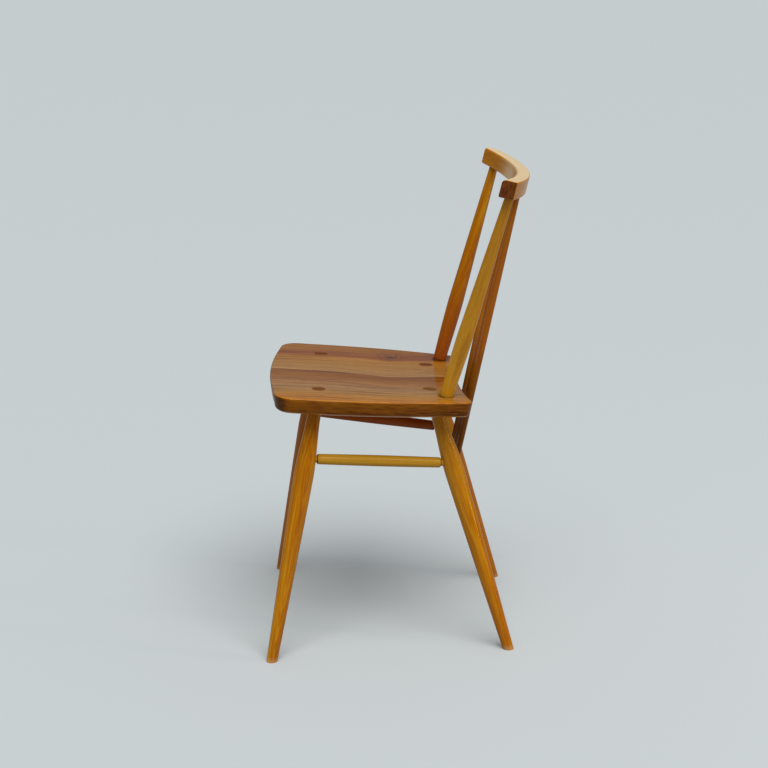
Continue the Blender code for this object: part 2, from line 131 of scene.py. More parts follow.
@contextmanager
def editing(item: bpy.types.Object) -> Iterator[None]:
    """Open a piece in edit mode for a while.

    Args:
        item: The piece to edit.
    """
    activate(item)
    bpy.ops.object.mode_set(mode="EDIT")
    yield
    bpy.ops.object.mode_set(mode="OBJECT")


def pick(item: bpy.types.Object, kind: Pick, test: Callable[[Any], bool]) -> None:
    """Select the elements of a piece in edit mode that pass a test.

    Args:
        item: The piece being edited.
        kind: Which elements to look at.
        test: Says whether an element is wanted.
    """
    bpy.ops.mesh.select_mode(type=kind.value)
    bpy.ops.mesh.select_all(action="DESELECT")
    shape = bmesh.from_edit_mesh(item.data)
    rows = {Pick.VERT: shape.verts, Pick.EDGE: shape.edges, Pick.FACE: shape.faces}
    for element in rows[kind]:
        if test(element):
            element.select_set(True)
    shape.select_flush_mode()
    bmesh.update_edit_mesh(item.data)


def axis_frame(start: Vector, end: Vector) -> Matrix:
    """Placement of a turned piece: local Z runs from start to end and local X stays level."""
    along = (end - start).normalized()
    side = Vector((0.0, 1.0, 0.0)).cross(along).normalized()
    front = along.cross(side)
    rotation = Matrix((side, front, along)).transposed().to_4x4()
    return Matrix.Translation(start) @ rotation


def settle(item: bpy.types.Object, place: Matrix) -> None:
    """Put a piece in its place and leave that place in its mesh."""
    item.matrix_world = place
    activate(item)
    bpy.ops.object.transform_apply(location=True, rotation=True, scale=True)


def trim(item: bpy.types.Object, point: Vector, normal: Vector) -> None:
    """Saw a piece off at a plane and close the cut.

    Args:
        item: The piece.
        point: A point of the plane.
        normal: Points to the side that is taken off.
    """
    with editing(item):
        bpy.ops.mesh.select_all(action="SELECT")
        bpy.ops.mesh.bisect(
            plane_co=point, plane_no=normal, use_fill=True, clear_outer=True, threshold=TINY
        )


def cut(item: bpy.types.Object, cutter: bpy.types.Object) -> None:
    """Take a cutter out of a piece and throw the cutter away."""
    modifier = item.modifiers.new("cut", "BOOLEAN")
    modifier.operation = "DIFFERENCE"
    modifier.solver = "EXACT"
    modifier.object = cutter
    activate(item)
    bpy.ops.object.modifier_apply(modifier=modifier.name)
    bpy.data.objects.remove(cutter, do_unlink=True)


def bore(item: bpy.types.Object, start: Vector, end: Vector, diameter: float) -> None:
    """Drill a round hole from one point to another.

    Args:
        item: The piece to drill.
        start: Middle of the hole at one end.
        end: Middle of the hole at the other end.
        diameter: Width of the hole.
    """
    deselect()
    length = (end - start).length
    bpy.ops.mesh.primitive_cylinder_add(vertices=HOLE_SIDES, radius=diameter / 2, depth=length)
    cutter = bpy.context.object
    settle(cutter, axis_frame(start, end) @ Matrix.Translation((0.0, 0.0, length / 2)))
    cut(item, cutter)


def soften(item: bpy.types.Object, angle: float) -> None:
    """Shade a piece smooth, with its edges above an angle kept sharp."""
    activate(item)
    bpy.ops.object.shade_smooth_by_angle(angle=angle)
    even = item.modifiers.new("even_shading", "WEIGHTED_NORMAL")
    even.keep_sharp = True
    bpy.ops.object.modifier_apply(modifier=even.name)


def mirrored(item: bpy.types.Object, name: str) -> bpy.types.Object:
    """Copy a piece to the other side of the chair.

    Args:
        item: The finished piece.
        name: Name of the copy.

    Returns:
        The copy, with its own mesh and its faces turned outwards again.
    """
    copy = item.copy()
    copy.data = item.data.copy()
    copy.name = name
    bpy.context.scene.collection.objects.link(copy)
    settle(copy, Matrix.Diagonal((-1.0, 1.0, 1.0, 1.0)))
    with editing(copy):
        bpy.ops.mesh.select_all(action="SELECT")
        bpy.ops.mesh.normals_make_consistent(inside=False)
    return copy


def write_grain(
    item: bpy.types.Object,
    local: Callable[[Vector], Vector],
    along: Callable[[Vector], Vector],
    joint: Callable[[Vector], float],
    plank: Vector,
    tint: Callable[[Vector], float],
) -> None:
    """Store how the grain runs in a piece, for its finish to read.

    Args:
        item: The finished piece, in its place.
        local: Turns a point into the piece's own coordinates, Z along the grain.
        along: Direction of the grain at a point.
        joint: How close a point is to glued joints, 0 to 1, with painted shade added on some pieces.
        plank: Where in the timber the piece was cut, so that no two look the same.
        tint: Tone at a point, from -1, reddish and dark, to 1, pale; on some pieces it carries painted
            shade.
    """
    mesh = item.data
    places = [vert.co.copy() for vert in mesh.vertices]
    grain = [value for place in places for value in local(place) + plank]
    joints = [joint(place) for place in places]
    ends = []
    for face in mesh.polygons:
        across = abs(face.normal.dot(along(face.center)))
        ends.append(1.0 if across > END_GRAIN_COSINE else 0.0)
    rows = (
        ("grain", "FLOAT_VECTOR", "POINT", "vector", grain),
        ("joint", "FLOAT", "POINT", "value", joints),
        ("tint", "FLOAT", "POINT", "value", [tint(place) for place in places]),
        ("end_grain", "FLOAT", "FACE", "value", ends),
    )
    for name, kind, domain, key, values in rows:
        attribute = mesh.attributes.new(name, kind, domain)
        attribute.data.foreach_set(key, values)


def declare(item: bpy.types.Object, node: str, slot: Slot, finish: bpy.types.Material) -> None:
    """Dress a finished piece and let it stand for its solid.

    Args:
        item: The piece.
        node: The solid that it stands for.
        slot: Record slot of its finish; not used.
        finish: Its material.
    """
    item.data.materials.clear()
    item.data.materials.append(finish)
    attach(item, BODY)
    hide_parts(node)
    logging.info("%s for %s: %d faces", item.name, node, len(item.data.polygons))


# Shader maths


@dataclass(frozen=True)
class Signal:
    """A shader socket that can stand in an expression."""

    board: "Board"
    socket: bpy.types.NodeSocket

    def math(self, operation: str, *others: Any) -> "Signal":
        """Join this socket to others through a Math node.

        Args:
            operation: The node's operation.
            others: Sockets or numbers that follow this one.

        Returns:
            The result.
        """
        inputs = dict(enumerate((self, *others)))
        return self.board.add("ShaderNodeMath", {"operation": operation}, inputs)

    def __add__(self, other: Any) -> "Signal":
        """Sum."""
        return self.math("ADD", other)

    def __radd__(self, other: float) -> "Signal":
        """Sum with a number on the left."""
        return self.math("ADD", other)

    def __sub__(self, other: Any) -> "Signal":
        """Difference."""
        return self.math("SUBTRACT", other)

    def __rsub__(self, other: float) -> "Signal":
        """Number minus this."""
        return (self * -1.0).math("ADD", other)

    def __mul__(self, other: Any) -> "Signal":
        """Product."""
        return self.math("MULTIPLY", other)

    def __rmul__(self, other: float) -> "Signal":
        """Product with a number on the left."""
        return self.math("MULTIPLY", other)

    def __truediv__(self, other: Any) -> "Signal":
        """Quotient."""
        return self.math("DIVIDE", other)

    def __abs__(self) -> "Signal":
        """Size without sign."""
        return self.math("ABSOLUTE")

    def band(self, low: float, high: float) -> "Signal":
        """Rise smoothly from 0 to 1 between two values."""
        settings = {"interpolation_type": "SMOOTHSTEP"}
        return self.board.add("ShaderNodeMapRange", settings, {0: self, 1: low, 2: high})


class Board:
    """Node tree of one finish."""

    def __init__(self, name: str) -> None:
        """Start an empty material.

        Args:
            name: Its name.
        """
        self.material = bpy.data.materials.new(name)
        self.material.use_nodes = True
        self.tree = self.material.node_tree
        self.tree.nodes.clear()

    def add(
        self, kind: str, settings: dict[str, Any], inputs: dict[Any, Any], output: Any = 0
    ) -> Signal:
        """Add any node.

        Args:
            kind: Its type.
            settings: Its properties, with a ramp's colours under "stops".
            inputs: Values or signals by socket name or number.
            output: Name or number of the socket to return.

        Returns:
            That socket.
        """
        node = self.tree.nodes.new(kind)
        for key, value in settings.items():
            if key == "stops":
                self.set_stops(node.color_ramp, value)
            else:
                setattr(node, key, value)
        for key, value in inputs.items():
            if isinstance(value, Signal):
                self.tree.links.new(value.socket, node.inputs[key])
            else:
                node.inputs[key].default_value = value
        return Signal(self, node.outputs[output])

    @staticmethod
    def set_stops(ramp: bpy.types.ColorRamp, stops: Sequence[tuple[float, Colour]]) -> None:
        """Give a ramp its colours.

        Args:
            ramp: The ramp.
            stops: Place and colour of each stop, in order.
        """
        while len(ramp.elements) < len(stops):
            ramp.elements.new(1.0)
        for element, (place, colour) in zip(ramp.elements, stops):
            element.position = place
            element.color = (*colour, 1.0)

    def attribute(self, name: str, output: str) -> Signal:
        """Read one of the piece's own attributes."""
        return self.add("ShaderNodeAttribute", {"attribute_name": name}, {}, output)

    def place(self) -> Signal:
        """Place on the chair."""
        return self.add("ShaderNodeTexCoord", {}, {}, "Object")

    def split(self, vector: Signal) -> tuple[Signal, Signal, Signal]:
        """Take a vector apart."""
        node = self.add("ShaderNodeSeparateXYZ", {}, {0: vector}).socket.node
        return tuple(Signal(self, socket) for socket in node.outputs)

    def join(self, across: Any, deep: Any, long: Any) -> Signal:
        """Put a vector together."""
        return self.add("ShaderNodeCombineXYZ", {}, {0: across, 1: deep, 2: long})

    def stretch(self, vector: Signal, scale: Sequence[float]) -> Signal:
        """Scale a vector by axis."""
        return self.add("ShaderNodeVectorMath", {"operation": "MULTIPLY"}, {0: vector, 1: scale})

    def noise(self, vector: Signal, detail: float = 2.0, rough: float = 0.5) -> Signal:
        """Soft random pattern, 0 to 1 about a middle of one half.

        Args:
            vector: Where to read it, already scaled.
            detail: Number of finer layers.
            rough: Strength of the finer layers.

        Returns:
            The pattern.
        """
        inputs = {"Vector": vector, "Scale": 1.0, "Detail": detail, "Roughness": rough}
        return self.add("ShaderNodeTexNoise", {}, inputs)

    def blend(self, share: Any, first: Any, second: Any, how: str = "MIX") -> Signal:
        """Blend two colours.

        Args:
            share: How much of the second.
            first: First colour or signal.
            second: Second colour or signal.
            how: Blend type.

        Returns:
            The blended colour.
        """
        ends = [value if isinstance(value, Signal) else (*value, 1.0) for value in (first, second)]
        settings = {"data_type": "RGBA", "blend_type": how, "clamp_factor": True}
        return self.add("ShaderNodeMix", settings, {0: share, 6: ends[0], 7: ends[1]}, 2)

    def ramp(self, share: Signal, stops: Sequence[tuple[float, Colour]]) -> Signal:
        """Colour by place along a row of stops."""
        return self.add("ShaderNodeValToRGB", {"stops": stops}, {0: share})

    def bump(self, height: Signal, distance: float) -> Signal:
        """Relief of a given depth in metres."""
        inputs = {"Strength": 1.0, "Distance": distance, "Height": height}
        return self.add("ShaderNodeBump", {}, inputs)

    def varnish(
        self, colour: Signal, rough: Signal, normal: Signal, coat: "Varnish", thin: Any = 0.0
    ) -> bpy.types.Material:
        """Finish the tree with varnished wood.

        Args:
            colour: Colour of the wood.
            rough: Roughness of the wood under the varnish.
            normal: Relief.
            coat: The varnish.
            thin: How much of the varnish is missing, 0 to 1.

        Returns:
            The material.
        """
        inputs = {
            "Base Color": colour,
            "Roughness": rough,
            "Normal": normal,
            "Specular IOR Level": coat.wood_gloss,
            "Coat Weight": (1 - thin) * coat.weight,
            "Coat Roughness": coat.roughness,
            "Coat IOR": coat.index,
        }
        shader = self.add("ShaderNodeBsdfPrincipled", {}, inputs)
        return self.finish(shader)

    def finish(self, shader: Signal) -> bpy.types.Material:
        """Join a shader to the material's output.

        Args:
            shader: The finished shader.

        Returns:
            The material.
        """
        node = self.tree.nodes.new("ShaderNodeOutputMaterial")
        self.tree.links.new(shader.socket, node.inputs["Surface"])
        return self.material


@dataclass(frozen=True)
class Varnish:
    """Clear coat over the wood."""

    weight: float = 1.0
    roughness: float = 0.09
    index: float = 1.34
    wood_gloss: float = 0.06


@dataclass(frozen=True)
class Beech:
    """Honey-coloured beech under varnish."""

    name: str = "beech_varnished"
    deep: Colour = srgb(164, 92, 2)
    honey: Colour = srgb(188, 116, 2)
    pale: Colour = srgb(204, 142, 20)
    # Reddish dark tone, which on some pieces is painted shade.
    russet_and_shade: Colour = srgb(150, 66, 2)
    gold: Colour = srgb(212, 166, 50)
    # Pale cream: painted sheen on the rail's top, painted light towards the rail's middle, and wear at
    # the feet.
    sheen_and_wear: Colour = srgb(238, 210, 166)
    darkening: Colour = srgb(128, 52, 1)
    # Near black: darkening at glued joints, and painted shade low on the inner sticks.
    grime_and_shade: Colour = srgb(36, 9, 1)
    end_dark: Colour = srgb(70, 24, 1)
    end_pale: Colour = srgb(122, 62, 5)
    rail_low: float = 0.745
    # Painted light towards the rail's middle: full within the first distance from the middle, gone
    # beyond the second.
    lit_middle_full: float = 0.05
    lit_middle_none: float = 0.13
    seat_low: float = 0.37
    foot_band: float = 0.010
    coat: Varnish = Varnish(weight=0.5, roughness=0.12, index=1.36, wood_gloss=0.0)

    def material(self) -> bpy.types.Material:
        """Build the finish.

        Returns:
            The material, which follows the grain stored in each piece.
        """
        board = Board(self.name)
        grain = board.attribute("grain", "Vector")
        joint = board.attribute("joint", "Fac")
        ends = board.attribute("end_grain", "Fac")
        tint = board.attribute("tint", "Fac")
        x, _, height = board.split(board.place())
        normal = board.add("ShaderNodeNewGeometry", {}, {}, "Normal")
        up = board.split(normal)[2]
        across, deep, long = board.split(grain)
        broad = board.noise(board.stretch(grain, (40.0, 40.0, 4.0)), 2.0)
        warp = board.noise(board.stretch(grain, (16.0, 16.0, 2.4)), 2.0) * 0.030
        layer = board.join((across + deep * 0.35 + warp) * 620.0, long * 1.5, 0.0)
        rings = board.noise(layer, 2.0)
        streaks = board.noise(board.stretch(grain, (520.0, 520.0, 7.0)), 3.0, 0.6)
        flecks = board.noise(board.stretch(grain, (1100.0, 1100.0, 120.0)), 1.0).band(0.62, 0.74)
        tone = rings * 0.68 + streaks * 0.76 + broad * 0.58 - 0.51
        colour = board.ramp(tone, ((0.30, self.deep), (0.50, self.honey), (0.70, self.pale)))
        patches = board.noise(board.stretch(grain, (34.0, 34.0, 11.0)), 3.0, 0.55).band(0.50, 0.74)
        colour = board.blend(patches * 0.32, colour, self.darkening)
        # Each piece's own tone, which on some pieces also carries painted shade: reddish and dark one
        # way, pale the other.
        colour = board.blend(tint * -1.0 * (streaks * 0.5 + 0.75), colour, self.russet_and_shade)
        colour = board.blend(tint * (rings * 0.5 + 0.75), colour, self.gold)
        on_rail = height.band(self.rail_low, self.rail_low + 0.006)
        # Painted sheen on the rail's top, with some wear: the top is painted pale.
        top_sheen_and_wear = up.band(0.72, 0.98) * on_rail
        colour = board.blend(top_sheen_and_wear * (streaks * 0.35 + 0.80), colour, self.sheen_and_wear)
        # Painted light: the rail is painted paler towards its middle, its ends left darker.
        lit_middle = abs(x).band(self.lit_middle_none, self.lit_middle_full) * on_rail
        colour = board.blend(lit_middle * 0.36, colour, self.sheen_and_wear)
        colour = board.blend(height.band(self.foot_band, 0.002) * 0.18, colour, self.sheen_and_wear)
        colour = board.blend(flecks * 0.30, colour, self.darkening)
        dots = board.noise(board.stretch(grain, (900.0, 90.0, 60.0)), 3.0)
        end_colour = board.blend(dots.band(0.36, 0.64), self.end_dark, self.end_pale)
        at_seat = height.band(self.seat_low, self.seat_low + 0.01) - on_rail
        colour = board.blend(ends * (0.95 - at_seat * 0.20), colour, end_colour)
        # Darkening at glued joints, and painted shade low on the inner sticks under the seat.
        colour = board.blend(joint * 0.80, colour, self.grime_and_shade)
        rough = streaks * 0.25 + 0.28
        relief = board.bump(streaks * 0.6 + rings * 0.4, 0.00010)
        return board.varnish(colour, rough, relief, self.coat)


@dataclass(frozen=True)
class Elm:
    """Brown elm board with strong straight grain, a growth ring step and one knot."""

    name: str = "elm_varnished"
    # Colours across the top; the paler bands carry a whitish lift of painted sheen in their colour.
    tones_and_sheen: tuple[tuple[float, Colour], ...] = (
        (0.03, srgb(164, 98, 8)),
        (0.107, srgb(162, 98, 4)),
        (0.173, srgb(147, 73, 3)),
        (0.225, srgb(152, 78, 4)),
        (0.247, srgb(184, 118, 20)),
        (0.37, srgb(179, 122, 48)),
        (0.478, srgb(175, 125, 64)),
        (0.496, srgb(190, 140, 80)),
        (0.503, srgb(136, 74, 4)),
        (0.568, srgb(150, 87, 6)),
        (0.634, srgb(166, 107, 48)),
        (0.75, srgb(171, 124, 74)),
        (0.83, srgb(181, 127, 51)),
        (0.90, srgb(191, 118, 10)),
    )
    dark: Colour = srgb(84, 34, 4)
    pore: Colour = srgb(70, 28, 4)
    light: Colour = srgb(206, 152, 84)
    # Near black: painted shade and dirt round the feet of the outer sticks.
    grime_and_shade: Colour = srgb(30, 8, 1)
    knot: Colour = srgb(50, 20, 6)
    # Colours of the seat's sides, painted darker than the top as painted shade; the front end is end
    # grain, painted darker still.
    side_lit: Colour = srgb(158, 92, 3)
    side_shaded: Colour = srgb(68, 24, 1)
    side_end: Colour = srgb(44, 10, 1)
    half_width: float = 0.1975
    side_low: float = 0.402
    side_high: float = 0.428
    knot_x: float = -0.122
    knot_y: float = -0.008
    eye_offset: float = 0.005
    eye_width: float = 0.0050
    eye_length: float = 0.0095
    bend_y: float = -0.012
    bend: float = 0.019
    coat: Varnish = field(default_factory=Varnish)

    def material(self) -> bpy.types.Material:
        """Build the finish.

        Returns:
            The material, laid out in the chair's own coordinates with the grain along Y.
        """
        board = Board(self.name)
        place = board.place()
        x, y, z = board.split(place)
        knot_x = x - self.knot_x
        knot_y = y - self.knot_y
        spread = (knot_x / 0.030).math("POWER", 2.0) + (knot_y / 0.024).math("POWER", 2.0)
        near_knot = (spread * -1.0).math("EXPONENT")
        bend = (((y - self.bend_y) / 0.052).math("POWER", 2.0) * -1.0).math("EXPONENT")
        lean = (abs(x) * -9.0).math("EXPONENT")
        sway = board.noise(board.stretch(place, (9.0, 5.0, 9.0)), 2.0) - 0.5
        fan = y * 0.06 * (1 - lean)
        layer = x - bend * lean * self.bend + fan - knot_x * near_knot * 0.6 + sway * 0.016
        ragged = board.noise(board.stretch(place, (60.0, 22.0, 60.0)), 3.0) - 0.5
        share = (layer + ragged * 0.003) / (2 * self.half_width) + 0.5
        colour = board.ramp(share, self.tones_and_sheen)
        lines = board.noise(board.join(layer * 300.0, y * 2.2, z * 120.0), 3.0, 0.55)
        colour = board.blend(lines.band(0.50, 0.70) * 0.62, colour, self.dark)
        colour = board.blend(lines.band(0.48, 0.28) * 0.34, colour, self.light)
        threads = board.noise(board.join(layer * 760.0, y * 3.4, z * 120.0), 2.0)
        colour = board.blend(threads.band(0.54, 0.72) * 0.30, colour, self.dark)
        pores = board.noise(board.join(layer * 900.0, y * 42.0, z * 500.0), 1.0)
        colour = board.blend(pores.band(0.60, 0.72) * 0.50, colour, self.pore)
        rings = spread.math("SQRT") * 15.0 + lines * 4.0 + ragged * 14.0
        ring_line = rings.math("SINE").band(0.0, 0.9)
        colour = board.blend(ring_line * near_knot.band(0.15, 0.70) * 0.55, colour, self.knot)
        eye_across = ((knot_x - self.eye_offset) / self.eye_width).math("POWER", 2.0)
        eye_long = (knot_y / self.eye_length).math("POWER", 2.0)
        eye = ((eye_across + eye_long) * -1.0).math("EXPONENT")
        colour = board.blend(eye.band(0.25, 0.75) * 0.85, colour, self.knot)
        normal = board.add("ShaderNodeNewGeometry", {}, {}, "Normal")
        normal_x, normal_y, normal_z = board.split(normal)
        drop = z + y * math.tan(SEAT.tilt)
        figure = board.noise(board.join(x * 60.0, y * 34.0, drop * 420.0), 3.0, 0.6)
        zigzag = board.noise(board.stretch(place, (110.0, 110.0, 30.0)), 3.0, 0.6) - 0.5
        # Painted shade on the seat's sides: darker than the top and darker low down, with the grain's
        # figure; the code also darkens them towards the rear.
        height = (drop + zigzag * 0.007 - self.side_low) / (self.side_high - self.side_low)
        gold = figure.band(0.34, 0.66) * 0.50 + height * 0.50 - y * 0.9 - 0.06
        shaded_side_colour = board.blend(gold, self.side_shaded, self.side_lit)
        sides = abs(normal_z).band(0.80, 0.45)
        colour = board.blend(sides * 0.92, colour, shaded_side_colour)
        # The front end is end grain, and is painted darker still as shade.
        ends = (normal_y * -1.0).band(0.15, 0.60)
        dots = board.noise(board.stretch(place, (500.0, 40.0, 260.0)), 2.0).band(0.35, 0.65)
        colour = board.blend(ends * sides * (1 - dots * 0.3) * 0.85, colour, self.side_end)
        contact = self.contact(board, x, y)
        # Painted shade and dirt round the feet of the outer sticks.
        colour = board.blend(contact, colour, self.grime_and_shade)
        rough = lines * 0.25 + 0.25
        relief = board.bump(lines * 0.5 - pores.band(0.60, 0.72) * 0.6, 0.00015)
        return board.varnish(colour, rough, relief, self.coat, sides * 0.8)

    def contact(self, board: Board, x: Signal, y: Signal) -> Signal:
        """Painted shade and dirt round the feet of the outer sticks.

        Args:
            board: The tree; not used.
            x: Place across the chair.
            y: Place along the chair.

        Returns:
            How dark it is, 0 to 1.
        """
        side = abs(x) - OUTER_STICK.seat_half_spread
        back = y - (OUTER_STICK.seat_y + DATUM_SHIFT)
        squared = side * side + back * back
        distance = squared.math("SQRT")
        foot_radius = OUTER_STICK.foot_diameter / 2
        return distance.band(foot_radius + 0.005, foot_radius - 0.001) * 0.8


@dataclass(frozen=True)
class WedgeEnd:
    """Dark end of a wedge, varnished over."""

    name: str = "wedge_end_grain"
    dark: Colour = srgb(28, 10, 3)
    light: Colour = srgb(84, 42, 12)
    coat: Varnish = field(default_factory=Varnish)

    def material(self) -> bpy.types.Material:
        """Build the finish.

        Returns:
            The material, in the chair's own coordinates.
        """
        board = Board(self.name)
        place = board.place()
        dots = board.noise(board.stretch(place, (900.0, 260.0, 90.0)), 3.0)
        colour = board.ramp(dots, ((0.35, self.dark), (0.72, self.light)))
        relief = board.bump(dots, 0.0001)
        return board.varnish(colour, dots * 0.2 + 0.35, relief, self.coat)


# The chair's sizes


@dataclass(frozen=True)
class SeatSizes:
    """Sizes of the seat board, in its own plane."""

    height: float = 0.4284
    tilt: float = math.radians(3.5)
    thickness: float = 0.027
    front: float = 0.1895
    front_bow: float = 0.0105
    front_half_width: float = 0.1900
    front_corner: float = 0.046
    side_bow: float = 0.0085
    rear_half_width: float = 0.1530
    rear: float = 0.1425
    rear_corner: float = 0.014
    recess: float = 0.0165
    undercut: float = 0.005
    top_round: float = 0.0035
    bottom_round: float = 0.007

    def frame(self) -> Matrix:
        """Placement of the seat's plan, with its top at a local height of nothing."""
        lift = Matrix.Translation((0.0, DATUM_SHIFT, self.height))
        return lift @ Matrix.Rotation(-self.tilt, 4, "X")

    def top(self, x: float, y: float) -> Vector:
        """Point of the top plane, from a place measured from the datum line."""
        return Vector((x, y + DATUM_SHIFT, self.height - y * math.tan(self.tilt)))

    def normal(self) -> Vector:
        """Direction straight out of the top."""
        return Vector((0.0, math.sin(self.tilt), math.cos(self.tilt)))


@dataclass(frozen=True)
class StickSizes:
    """Sizes of the outer sticks."""

    seat_half_spread: float = 0.1188
    seat_y: float = 0.1010
    rail_half_spread: float = 0.1600
    foot_diameter: float = 0.0217
    swell_diameter: float = 0.0262
    swell_at: float = 0.31
    top_diameter: float = 0.0142
    seat_depth: float = 0.020


@dataclass(frozen=True)
class RailSizes:
    """Sizes of the bent top rail."""

    lean: float = math.radians(13.5)
    front_radius: float = 0.4821
    thickness: float = 0.0231
    height: float = 0.0288
    half_length: float = 0.1855
    back_y: float = 0.2395
    back_top: float = 0.7725
    edge_round: float = 0.0022
    front_top_round: float = 0.0065
    end_round: float = 0.0024
    stick_depth: float = 0.018
    stick_forward: float = 0.0012

    def back_radius(self) -> float:
        """Radius of the rail's back."""
        return self.front_radius + self.thickness

    def frame(self) -> Matrix:
        """Placement of the rail, from the middle of its back on its top face."""
        lift = Matrix.Translation((0.0, self.back_y + DATUM_SHIFT, self.back_top))
        return lift @ Matrix.Rotation(-self.lean, 4, "X")

    def under(self, x: float) -> Vector:
        """Point under the rail where a stick at x goes in."""
        radius = self.front_radius + self.thickness / 2 - self.stick_forward
        y = math.sqrt(radius**2 - x**2) - self.back_radius()
        return self.frame() @ Vector((x, y, -self.height))


SEAT = SeatSizes()
OUTER_STICK = StickSizes()
RAIL = RailSizes()


# Turned pieces


def undarkened(place: Any) -> float:
    """No painted shade and no darkening at glued joints, at any place of a piece."""
    return 0.0


@dataclass
class Turning:
    """A piece turned on the lathe, from one point of the chair to another."""

    name: str
    start: Vector
    end: Vector
    diameter: Callable[[float], float]
    first: float
    last: float
    extra: tuple[float, ...] = ()
    joints: tuple[float, ...] = ()
    # Painted shade along the piece, by distance from its start.
    painted_shade: Callable[[float], float] = undarkened
    joint_depth: float = 1.0

    def stations(self) -> list[float]:
        """Distances along the axis where the profile is set, in order.

        Returns:
            The distances, closer together where the profile asks for it.
        """
        count = math.ceil((self.last - self.first) / LATHE_PITCH)
        even = [mix(self.first, self.last, step / count) for step in range(count + 1)]
        wanted = sorted(set(even) | {at for at in self.extra if self.first < at < self.last})
        spaced = [wanted[0]]
        for distance in wanted[1:]:
            if distance - spaced[-1] > TINY * 10:
                spaced.append(distance)
        return spaced

    def build(self) -> bpy.types.Object:
        """Turn the piece.

        Returns:
            The piece in its place, closed at both ends.
        """
        deselect()
        stations = self.stations()
        widths = [self.diameter(distance) for distance in stations]
        bpy.ops.mesh.primitive_circle_add(
            vertices=LATHE_SIDES, radius=widths[0] / 2, fill_type="NGON"
        )
        item = bpy.context.object
        item.name = self.name
        with editing(item):
            bpy.ops.mesh.select_mode(type="FACE")
            bpy.ops.mesh.select_all(action="SELECT")
            bpy.ops.transform.translate(value=(0.0, 0.0, stations[0]))
            for index in range(1, len(stations)):
                rise = stations[index] - stations[index - 1]
                grow = widths[index] / widths[index - 1]
                bpy.ops.mesh.extrude_region_move(
                    TRANSFORM_OT_translate={"value": (0.0, 0.0, rise)}
                )
                bpy.ops.transform.resize(
                    value=(grow, grow, 1.0), center_override=(0.0, 0.0, stations[index])
                )
            bpy.ops.mesh.select_all(action="SELECT")
            bpy.ops.mesh.normals_make_consistent(inside=False)
        settle(item, axis_frame(self.start, self.end))
        return item

    def dress(self, item: bpy.types.Object, side: int, seed: int, tint: ToneAndShade) -> None:
        """Smooth the piece and store its grain.

        Args:
            item: The finished piece.
            side: 1 as built, -1 for the copy on the other side.
            seed: Number of the plank that it was cut from.
            tint: Its tone at both ends, from reddish and dark to pale; on some pieces it carries
                painted shade.
        """
        flip = Vector((side, 1.0, 1.0))
        start = self.start * flip
        end = self.end * flip
        inverse = axis_frame(start, end).inverted()
        along = (end - start).normalized()

        def joint(point: Vector) -> float:
            """Darkness near the closest of the glued joints, or the piece's painted shade, whichever
            is darker.
            """
            distance = (point - start).dot(along)
            closest = min(abs(distance - at) for at in self.joints)
            return max(self.joint_depth * math.exp(-closest / JOINT_REACH), self.painted_shade(distance))

        def tone(point: Vector) -> float:
            """Tone, with any painted shade, between those of the two ends."""
            return mix(*tint, (point - start).dot(along) / (end - start).length)

        plank = Vector([seed * step % span for step, span in zip(PLANK_STEPS, PLANK_SPANS)])
        write_grain(item, lambda point: inverse @ point, lambda point: along, joint, plank, tone)
        soften(item, SMOOTH_ANGLE)

    def pair(
        self,
        right: bpy.types.Object,
        seed: int,
        tones_and_shade: dict[Hand, ToneAndShade],
        finish: bpy.types.Material,
    ) -> None:
        """Copy a right piece to the left, dress both and let them stand for their solids.

        Args:
            right: The finished piece on the right.
            seed: Number of the timber that both planks come from.
            tones_and_shade: Tone of each piece, with painted shade on some.
            finish: The wood's finish.
        """
        node = self.name.removeprefix("turned_").removesuffix("_right")
        left = mirrored(right, f"turned_{node}_left")
        for item, hand in ((right, Hand.RIGHT), (left, Hand.LEFT)):
            self.dress(item, hand.value, seed + hand.value, tones_and_shade[hand])
            declare(item, f"{node}_{hand.name.lower()}", Slot.BEECH, finish)


